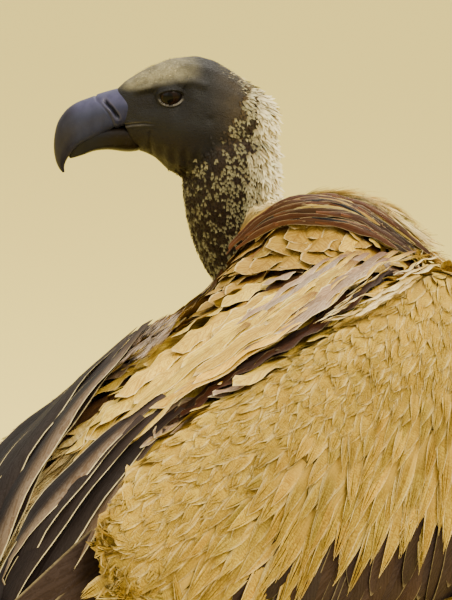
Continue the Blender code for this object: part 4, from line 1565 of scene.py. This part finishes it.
def loose_feathers(skin, rng, narrow, colours):
    """Cream feathers along the near wing's top edge, a single round one, and fluff by the far wing."""
    kinds = materials(colours)
    tones = varied(rng, np.array(colours.cream) * 0.85, 26, 0.10)
    batches = combed(
        skin, rng, narrow, WING_EDGE, tones,
        start=(0.0, 0.78), reach=(0.18, 0.26), half=(0.0016, 0.0024), height=(0.0130, 0.0105),
        tilt=0.5, drop=0.8,
    )
    dress("feathers_wing_edge", batches, kinds["soft"], "plumage", PATCH)
    round_tip = [waved(blade(15, 7, point=0.8, root=0.3, camber=0.3), waves=8, depth=0.1, phase=0)]
    batches = combed(
        skin, rng, round_tip, LONE_FEATHER, np.array([colours.straw]) * 1.1,
        start=(0.0, 0.01), reach=(0.99, 1.0), half=(0.0055, 0.0055), height=(0.019, 0.019), tilt=0.5,
    )
    dress("feather_lone", batches, kinds["long"], "plumage", PATCH)
    wisps = [tuft(rng, 9, 5, spread=0.9, width=0.05, rise=0.5) for _ in range(4)]
    tones = varied(rng, np.array(colours.mauve) * (1.5, 1.6, 1.8), 40, 0.15)
    batches = combed(
        skin, rng, wisps, FLUFF, tones,
        start=(0.0, 0.7), reach=(0.22, 0.34), half=(0.005, 0.008), height=(0.014, 0.014), drop=0.8,
    )
    dress("down_fluff", batches, kinds["down"], "pale_down", PATCH)


def dress_scapulars(sizes, colours):
    """The feathers of both shoulders and the hump, the tertials and what lies loose among them."""
    skin = MADE["skin"]
    for side in SIDES:
        shoulder(skin, side, sizes, colours)
    rng = np.random.default_rng(71)
    narrow = waved_blades(HACKLE_SHAPES, rng, 15, 5, root=0.4, fray=0.3, waves=14, depth=0.2)
    hackles(skin, rng, narrow, colours)
    tertials(skin, rng, colours)
    loose_feathers(skin, rng, narrow, colours)


# Wings and tail


def covert_height(side, local):
    """How far points of the wing's frame lie above the line where pale coverts give way to dark ones."""
    line = np.array(COVERT_LINE)
    return local[:, 2] - np.interp(local[:, 1], line[:, 0], line[:, 1]) - WING_LIFT[side]


def greater_coverts(skin, side, rng, zone, colours):
    """The dark feathers that show below the soft coverts."""
    blades = [blade(10, 5, 1.1, 0.5, 0.2), blade(10, 5, 1.3, 0.5, 0.15, 0.1)]
    roots = skin.scatter(zone, spacing=0.012, seed=52)
    way = lie_of(roots.place, WINGS[side], WING_LIE)
    tones = varied(rng, colours.flight, len(roots), 0.15)
    batches = laid(
        skin, roots, rng, blades, tones,
        length=0.075, half=0.0085, lift=0.0045, steps=8, jitter=0.05, cling=0.5, way=way,
    )
    name, dark = f"feathers_greater_coverts_{side}", materials(colours)["flight"]
    dress(name, batches, dark, "flight_feather", LONG_PATCH)


def soft_coverts(skin, side, name, rng, zone, templates, colours):
    """A zone of soft feathers, which grow from the shorter length to the longer one on the way down."""
    row = COVERT_ROWS[name]
    roots = skin.scatter(zone, row["spacing"], 53, row["squash"])
    local = inverse(WINGS[side], roots.place)
    up = covert_height(side, local)
    growth = ramp(-up, *row["grown"])
    clouds = np.sin(local @ np.array([90.0, 60.0, 110.0])) * np.sin(local @ np.array([-50.0, 130.0, 70.0]))
    fade = 0.60 + 0.46 * ramp(up, 0.07, 0.15) + 0.08 * clouds
    tones = varied(rng, colours.straw, len(roots), row["spread"]) * fade[:, None]
    length, half = (low + (high - low) * growth for low, high in (row["length"], row["half"]))
    way = lie_of(roots.place, WINGS[side], WING_LIE)
    batches = laid(
        skin, roots, rng, templates, tones, length, half, row["lift"], 5, jitter=0.13, cling=0.5, way=way
    )
    dress(f"feathers_coverts_{name}_{side}", batches, materials(colours)["soft"], "plumage", PATCH)


def dress_coverts(colours):
    """Soft rows over the folded arm, and the dark greater coverts under them."""
    skin = MADE["skin"]
    for side, sign in SIDES.items():
        rng = np.random.default_rng(51 + sign)
        small = [lock(rng, 10, 5, point=1.3, lift=0.04, camber=0.12) for _ in range(6)]
        large = [lock(rng, 12, 6, point=2.1, lift=0.06, camber=0.25) for _ in range(6)]
        arm = is_part(skin.label, f"wing_{side}_coverts")
        local = inverse(WINGS[side], skin.centre)
        above = covert_height(side, local)
        rear = skin.facing @ turned(WINGS[side], [(0, 1, 0)])[0]
        inside = skin.facing @ turned(WINGS[side], [(sign, 0, 0)])[0] < -0.1
        soft = arm & ~((rear > 0.7) & (local[:, 2] < 0.37))
        greater_coverts(skin, side, rng, arm & (above < 0.02) & (rear < 0.6) & ~inside, colours)
        lower = soft & (above <= 0.060) & ((above > 0.010) | inside)
        soft_coverts(skin, side, "upper", rng, soft & (above > 0.060), small, colours)
        soft_coverts(skin, side, "lower", rng, lower, large, colours)


def fan_lines(corners, side, lift, fractions, bow, matrix, rows=14):
    """Centre lines of feathers spread between an inner and an outer one, bowed away from the body."""
    inner_root, outer_root, inner_tip, outer_tip = (np.array([side * x, y, z + lift]) for x, y, z in corners)
    middle_run = (outer_tip + inner_tip) / 2 - (outer_root + inner_root) / 2
    out = unit(np.cross(middle_run, inner_root - outer_root)) * side
    t = np.linspace(0, 1, rows)[:, None]
    across = (inner_root - outer_root) * (1 - t) + (inner_tip - outer_tip) * t
    arch = out * (bow * np.sin(math.pi * (0.15 + 0.7 * t)))
    lines, ups = [], []
    for fraction in fractions:
        root = inner_root + (outer_root - inner_root) * fraction
        tip = inner_tip + (outer_tip - inner_tip) * fraction
        lines.append(root + (tip - root) * t + arch)
        ups.append(unit(np.cross(tip - root, across)) * side)
    return forward(matrix, np.array(lines)), turned(matrix, np.array(ups))


def fan(corners, tones, side, matrix, half, lift=0.0, bow=0.0, tilt=0.12, stack=0.0):
    """Long feathers side by side, each tilted so that it slides under the next."""
    count = len(tones)
    fractions = (np.arange(count) + 0.5) / count
    lines, ups = fan_lines(corners, side, lift, fractions, bow, matrix)
    heading = unit(lines[:, -1] - lines[:, 0])[:, None]
    tilted = unit(ups + np.cross(heading, ups) * tilt * side)
    order = np.arange(count)[:, None, None] - count / 2
    lines = lines - ups * stack * order
    places = np.stack([fractions, np.full(count, 0.5)], axis=1)
    along, across, up, faces, place = blade(22, 9, point=1.15, root=0.5, camber=0.10)
    up = up + 0.05 * np.sin(along * 19) * np.abs(across)
    return [((along, across, up, faces, place), lines, tilted, half, tones, places)]


def dress_flight(colours):
    """Secondaries and primaries of both wings, and the tail."""
    rng = np.random.default_rng(61)
    dark = materials(colours)["flight"]
    for side, sign in SIDES.items():
        lift, wing = WING_LIFT[side], WINGS[side]
        for part, corners, count, shape in (
            ("secondaries", SECONDARIES, 13, {
                "half": 0.0165, "lift": lift, "bow": 0.016 + 0.002 * sign, "stack": 0.0005,
            }),
            ("primaries", PRIMARIES, 7, {"half": 0.0150, "lift": lift / 2, "bow": 0.004, "stack": 0.0006}),
        ):
            batches = fan(corners, varied(rng, colours.flight, count, 0.12), sign, wing, **shape)
            name = f"feathers_{part}_{side}"
            dress(name, batches, dark, "flight_feather", FLIGHT_PATCH, [f"wing_{side}_{part}"])
    tones = varied(rng, colours.flight, 12, 0.12)
    batches = fan(TAIL, tones, 1, BODY, half=0.0155, bow=0.006, tilt=0.15)
    dress("feathers_tail", batches, dark, "flight_feather", FLIGHT_PATCH, ["tail"])


# Horn and eyes


def smooth_rows(rows, steps):
    """A smooth curve through the rows, with that many steps between each two (Catmull-Rom)."""
    rows = np.array(rows, float)
    padded = np.vstack([2 * rows[0] - rows[1], rows, 2 * rows[-1] - rows[-2]])
    found = []
    for before, start, end, after in zip(padded, padded[1:], padded[2:], padded[3:]):
        for t in np.arange(steps) / steps:
            pull = (end - before) / 2, (after - start) / 2
            found.append(
                start * (2 * t**3 - 3 * t**2 + 1)
                + pull[0] * (t**3 - 2 * t**2 + t)
                + end * (3 * t**2 - 2 * t**3)
                + pull[1] * (t**3 - t**2)
            )
    return np.array([*found, rows[-1]])


def swell(value, power):
    """A sine or cosine of a superellipse: squarer over 2, pointed under it."""
    return np.sign(value) * np.abs(value) ** (2 / power)


def horn_loft(name, rows, matrix, sides, power, under):
    """A closed tapering body along rows of: ahead, up, half width, rise and drop, in the matrix's frame."""
    bm = bmesh.new()
    path = np.array([[ahead, 0, up] for ahead, up, *_ in rows])
    runs = unit(np.gradient(path, axis=0))
    angles = 2 * math.pi * np.arange(sides) / sides
    loops = []
    for centre, run, (_, _, half, rise, drop) in zip(path, runs, rows):
        top = np.array([-run[2], 0, run[0]])
        ring = bmesh.ops.create_circle(bm, segments=sides, radius=1)["verts"]
        for vertex, angle in zip(ring, angles):
            shape = power if math.sin(angle) >= 0 else under
            height = swell(math.sin(angle), shape)
            across = swell(math.cos(angle), shape) * half
            co = centre + np.array([0, across, 0]) + top * height * (rise if height > 0 else drop)
            vertex.co = matrix @ Vector(co)
        loops.append(list(dict.fromkeys(edge for vertex in ring for edge in vertex.link_edges)))
    for first, second in zip(loops, loops[1:]):
        bmesh.ops.bridge_loops(bm, edges=first + second)
    for end in (loops[0], loops[-1]):
        bmesh.ops.edgeloop_fill(bm, edges=end)
    bmesh.ops.recalc_face_normals(bm, faces=bm.faces)
    mesh = bpy.data.meshes.new(name)
    bm.to_mesh(mesh)
    bm.free()
    return mesh


def make_bill(colours):
    """Both halves of the bill, with cere, nostrils and cutting edges."""
    horn = MADE.setdefault("horn", horn_material())
    mesh = horn_loft("bill_upper", smooth_rows(UPPER_BILL, 11), HEAD, sides=64, power=1.9, under=3.2)
    co, normals = read(mesh, "vertices", "co", 3), vertex_normals(mesh)
    local = inverse(HEAD, co)
    ahead, out, up = local.T
    flank = ramp(np.abs(out), 2.5, 5.5)
    slit, edge = (from_line(local[:, [0, 2]], line) for line in (NOSTRIL, CERE_EDGE))
    cere = ahead < line_ahead(up, CERE_EDGE)
    rise = (0.10 * hill(slit - 1.9, 0.7) - 2.6 * hill(slit, 0.95)) * flank
    rise += 0.35 * cere * ramp(edge, 0, 1.5) - 0.55 * hill(edge, 0.6)
    put(mesh, co + normals * (rise * MM)[:, None])
    tone = np.tile(np.array(colours.horn), (len(co), 1))
    tone = blend_in(tone, cere * 1.0, colours.cere)
    # Painted highlight: the bill is paler and bluer where it faces up, towards the ridge.
    tone = blend_in(tone, 0.5 * ramp(normals @ HEAD_UP, 0.2, 0.85), colours.culmen_highlight)
    tone = blend_in(tone, ramp(ahead, 54, 63) * 0.7, BILL_TIP)
    # Painted shade: the nostril slit is painted near-black.
    tone = blend_in(tone, hill(slit, 0.9) * flank, NOSTRIL_SHADOW)
    # Painted highlight: a faint pale ring round the nostril slit.
    tone = blend_in(tone, 0.15 * hill(slit - 1.7, 0.5) * flank, NOSTRIL_RIM_HIGHLIGHT)
    paint(mesh, "tone", tone)
    finish_piece(add_object("bill_upper_horn", mesh, horn), "horn", "bill_upper")
    mesh = horn_loft("bill_lower", smooth_rows(LOWER_BILL, 10), HEAD, sides=48, power=4, under=2)
    ahead = inverse(HEAD, read(mesh, "vertices", "co", 3))[:, 0]
    # Painted shade: the lower bill is painted far darker than the upper, its horn at 0.15 and the throat
    # tone at 0.6, so that it stays dark against the light from below.
    tone = np.tile(np.array(colours.horn) * 0.15, (len(ahead), 1))
    tone = blend_in(tone, ramp(-ahead, -48, -30), np.array(colours.throat) * 0.6)
    paint(mesh, "tone", tone)
    finish_piece(add_object("bill_lower_horn", mesh, horn), "horn", "bill_lower")


def line_ahead(up, corners):
    """How far ahead a chain of straight runs is at a height."""
    corners = np.array(sorted(corners, key=lambda corner: corner[1]), float)
    return np.interp(up, corners[:, 1], corners[:, 0])


def make_eyes():
    """Balls with a bulging cornea, looking out and a little ahead."""
    wet = eye_material()
    for side, sign in SIDES.items():
        bm = bmesh.new()
        bmesh.ops.create_uvsphere(bm, u_segments=48, v_segments=32, radius=EYE_RADIUS)
        gaze = Vector((0.22, sign, -0.02)).normalized()
        mesh = bpy.data.meshes.new("eye_" + side)
        off = []
        for vertex in bm.verts:
            angle = vertex.co.angle(gaze)
            off.append(angle)
            bulge = 1 + 0.03 * math.exp(-((angle / 0.6) ** 4))
            vertex.co = HEAD @ (vertex.co * bulge + Vector((0, sign * EYE_OUT, 0)))
        bm.to_mesh(mesh)
        bm.free()
        grade(mesh, "off_axis", off)
        finish_piece(add_object(f"eyeball_{side}", mesh, wet), "eye", "eye_" + side)


def make_claws(colours):
    """Each claw as a fine horn, grown from its solid's own box and bearing."""
    horn = MADE.setdefault("horn", horn_material())
    for side in SIDES:
        foot = middle("foot_" + side)
        for toe in ("middle", "inner", "outer", "hind"):
            node = f"claw_{side}_{toe}"
            points = np.array([vertex.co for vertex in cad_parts[node].data.vertices])
            far = np.linalg.norm((points - np.array(foot))[:, :2], axis=1)
            tip, root = points[far.argmax()], points[far < far.min() + 0.004].mean(axis=0)
            ahead = Vector((*(tip - root)[:2], 0)).normalized()
            turn = Matrix((ahead, UP.cross(ahead), UP)).transposed().to_4x4()
            place = Matrix.Translation((root[0], root[1], 0)) @ turn @ Matrix.Scale(MM, 4)
            mesh = horn_loft(node, smooth_rows(CLAW, 5), place, sides=16, power=2, under=2.6)
            paint(mesh, "tone", np.tile(np.array(colours.claw), (len(mesh.vertices), 1)))
            finish_piece(add_object(node + "_horn", mesh, horn), "horn", node)


# Stage


def direction(azimuth, elevation):
    """Towards that bearing, which is 0 at -Y, and that far up."""
    level = math.cos(elevation)
    return Vector((math.sin(azimuth) * level, -math.cos(azimuth) * level, math.sin(elevation)))


def aimed(name, data, target, way, distance):
    """A camera or light that looks at the target from that way."""
    made = bpy.data.objects.new(name, data)
    bpy.context.scene.collection.objects.link(made)
    made.location = target + way * distance
    made.rotation_euler = (-way).to_track_quat("-Z", "Y").to_euler()
    return made


def make_stage(stage):
    """A pale floor, a large soft key light, a fill, a light from behind and the camera."""
    bm = bmesh.new()
    bmesh.ops.create_grid(bm, x_segments=1, y_segments=1, size=40)
    mesh = bpy.data.meshes.new("floor")
    bm.to_mesh(mesh)
    bm.free()
    m = Nodes("floor")
    m.shade(Base_Color=(*stage.floor, 1), Roughness=0.9)
    add_object("floor", mesh, m.material)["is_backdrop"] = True

    target = Vector(stage.target)
    lens = bpy.data.cameras.new("camera")
    lens.lens = lens.sensor_width * stage.distance / stage.height
    way = direction(stage.azimuth, stage.elevation)
    bpy.context.scene.camera = aimed("camera", lens, target, way, stage.distance)

    for name, (turn, rise, far, size, power, colour) in LIGHTS.items():
        light = bpy.data.lights.new(name, "AREA")
        light.size, light.energy, light.color = size, power, colour
        aimed(name, light, target, direction(stage.azimuth + math.radians(turn), math.radians(rise)), far)

    world = bpy.data.worlds.new("studio")
    world.use_nodes = True
    background = world.node_tree.nodes["Background"]
    background.inputs["Color"].default_value = STUDIO
    background.inputs["Strength"].default_value = stage.ambient
    bpy.context.scene.world = world


# The add-on


def colour(name, description, default):
    return bpy.props.FloatVectorProperty(
        name=name, description=description, subtype="COLOR", size=3, min=0, max=1, default=default
    )


def number(name, description, default, **kind):
    return bpy.props.FloatProperty(name=name, description=description, default=default, **kind)


class VultureSizes(bpy.types.PropertyGroup):
    thinning: number(
        "Skin under the coat", "Share of its faces that the covered skin keeps", 0.11,
        subtype="FACTOR", min=0.05, max=1,
    )
    mantle: number("Mantle", "Length of the mantle's feathers, of the usual", 1.0, subtype="FACTOR")
    scapulars: number("Scapulars", "Length of the shoulder feathers, of the usual", 1.0, subtype="FACTOR")
    ruff: number("Ruff", "Length of the ruff's down, of the usual", 1.0, subtype="FACTOR")


class VultureColours(bpy.types.PropertyGroup):
    straw: colour("Straw", "Mantle, shoulders and coverts", (0.54, 0.375, 0.050))
    buff: colour("Buff", "Breast, belly and thighs", (0.52, 0.37, 0.15))
    cream: colour("Cream", "Lower back and feather edges", (0.84, 0.70, 0.36))
    ruff: colour("Ruff", "Down round the root of the neck", (0.72, 0.58, 0.28))
    # Partly painted shade: the dark feather bases also stand for the shade in the gaps between feathers.
    chestnut: colour("Chestnut", "Bases of the feathers", (0.10, 0.034, 0.008))
    shade: colour("Shaded base", "Bases of the soft feathers", (0.40, 0.26, 0.045))
    mauve: colour("Grey-mauve", "Some of the shoulder feathers", (0.30, 0.22, 0.15))
    flight: colour("Flight feathers", "Wing and tail feathers and greater coverts", (0.026, 0.016, 0.013))
    # Painted shade: kept dark so that the gaps between the feathers look shadowed.
    under: colour("Under the coat", "Skin seen between feathers", (0.10, 0.045, 0.014))
    face: colour("Face", "Sides of the head", (0.0085, 0.0085, 0.0090))
    crown: colour("Crown", "Top of the head", (0.22, 0.195, 0.115))
    throat: colour("Throat", "Throat and lower jaw", (0.008, 0.004, 0.0008))
    nape: colour("Nape", "Pale down behind the head and neck", (0.70, 0.62, 0.38))
    neck: colour("Neck", "Skin of the neck", (0.022, 0.014, 0.009))
    neck_down: colour("Neck down", "Pale tufts of the neck", (0.22, 0.205, 0.115))
    # Also used for the painted highlight along the gape's lip.
    lid: colour("Lower lid", "Rim under the eye", (0.22, 0.20, 0.17))
    legs: colour("Legs", "Tarsi and toes", (0.035, 0.031, 0.028))
    horn: colour("Horn", "Bill", (0.021, 0.024, 0.048))
    cere: colour("Cere", "Skin at the root of the bill", (0.018, 0.020, 0.045))
    # Painted highlight on the upward-facing ridge of the bill.
    culmen_highlight: colour("Culmen", "Ridge of the bill", (0.078, 0.076, 0.15))
    claw: colour("Claws", "Claws", (0.014, 0.012, 0.012))


class VultureStage(bpy.types.PropertyGroup):
    azimuth: number("Azimuth", "Bearing of the camera", math.radians(222), subtype="ANGLE")
    elevation: number("Elevation", "Height of the camera above level", math.radians(11), subtype="ANGLE")
    distance: number("Distance", "From the camera to the bird", 3.4, unit="LENGTH")
    height: number("Height seen", "Height of the view at the bird", 0.348, unit="LENGTH")
    target: bpy.props.FloatVectorProperty(
        name="Target",
        description="Point at the middle of the view",
        default=tuple(STANCE.translation + Vector((0.0172, 0.0155, 0.506))),
        subtype="TRANSLATION",
        unit="LENGTH",
    )
    floor: colour("Floor", "Plain pale floor", (1.0, 0.80, 0.20))
    ambient: number("Ambient", "Strength of the light all round", 1.42)


class VULTURE_OT_skin(bpy.types.Operator):
    """Make the one skin that replaces the flesh"""

    bl_idname = "vulture.skin"
    bl_label = "Skin"

    def execute(self, context):
        make_skin(context.scene.vulture_sizes, context.scene.vulture_colours)
        return {"FINISHED"}


class VULTURE_OT_eyes(bpy.types.Operator):
    """Make both eyes"""

    bl_idname = "vulture.eyes"
    bl_label = "Eyes"

    def execute(self, context):
        make_eyes()
        return {"FINISHED"}


class VULTURE_OT_horn(bpy.types.Operator):
    """Make the bill and the claws"""

    bl_idname = "vulture.horn"
    bl_label = "Bill and claws"

    def execute(self, context):
        make_bill(context.scene.vulture_colours)
        make_claws(context.scene.vulture_colours)
        return {"FINISHED"}


class VULTURE_OT_down(bpy.types.Operator):
    """Lay the down of head, neck, nape and ruff"""

    bl_idname = "vulture.down"
    bl_label = "Down"

    def execute(self, context):
        dress_down(context.scene.vulture_sizes, context.scene.vulture_colours)
        return {"FINISHED"}


class VULTURE_OT_body(bpy.types.Operator):
    """Lay the feathers of breast, belly, thighs, back and mantle"""

    bl_idname = "vulture.body"
    bl_label = "Body feathers"

    def execute(self, context):
        dress_body(context.scene.vulture_sizes, context.scene.vulture_colours)
        return {"FINISHED"}


class VULTURE_OT_scapulars(bpy.types.Operator):
    """Lay the shoulder feathers"""

    bl_idname = "vulture.scapulars"
    bl_label = "Scapulars"

    def execute(self, context):
        dress_scapulars(context.scene.vulture_sizes, context.scene.vulture_colours)
        return {"FINISHED"}


class VULTURE_OT_coverts(bpy.types.Operator):
    """Lay the coverts of both wings"""

    bl_idname = "vulture.coverts"
    bl_label = "Coverts"

    def execute(self, context):
        dress_coverts(context.scene.vulture_colours)
        return {"FINISHED"}


class VULTURE_OT_flight(bpy.types.Operator):
    """Lay the flight feathers of wings and tail"""

    bl_idname = "vulture.flight"
    bl_label = "Flight feathers"

    def execute(self, context):
        dress_flight(context.scene.vulture_colours)
        return {"FINISHED"}


class VULTURE_OT_stage(bpy.types.Operator):
    """Make the floor, lights and camera"""

    bl_idname = "vulture.stage"
    bl_label = "Stage"

    def execute(self, context):
        make_stage(context.scene.vulture_stage)
        return {"FINISHED"}


OPERATORS = (
    VULTURE_OT_skin,
    VULTURE_OT_eyes,
    VULTURE_OT_horn,
    VULTURE_OT_down,
    VULTURE_OT_body,
    VULTURE_OT_scapulars,
    VULTURE_OT_coverts,
    VULTURE_OT_flight,
    VULTURE_OT_stage,
)


class VULTURE_PT_panel(bpy.types.Panel):
    """The vulture's pieces, in the order they are made"""

    bl_label = "White-backed vulture"
    bl_idname = "VULTURE_PT_panel"
    bl_space_type = "VIEW_3D"
    bl_region_type = "UI"
    bl_category = "Vulture"

    def draw(self, context):
        for operator in OPERATORS:
            self.layout.operator(operator.bl_idname)
        for group in GROUPS:
            box = self.layout.box()
            for name in GROUPS[group].__annotations__:
                box.prop(getattr(context.scene, group), name)


GROUPS = {"vulture_sizes": VultureSizes, "vulture_colours": VultureColours, "vulture_stage": VultureStage}


def register():
    for made in (*GROUPS.values(), *OPERATORS, VULTURE_PT_panel):
        bpy.utils.register_class(made)
    for name, group in GROUPS.items():
        setattr(bpy.types.Scene, name, bpy.props.PointerProperty(type=group))


def unregister():
    for name in GROUPS:
        delattr(bpy.types.Scene, name)
    for made in reversed((*GROUPS.values(), *OPERATORS, VULTURE_PT_panel)):
        bpy.utils.unregister_class(made)


def main():
    register()
    for operator in OPERATORS:
        group, name = operator.bl_idname.split(".")
        getattr(getattr(bpy.ops, group), name)()
    boxes = {"cad": CAD_BOX, "visual": [list(corner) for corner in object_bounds()]}


if __name__ == "__main__":
    main()
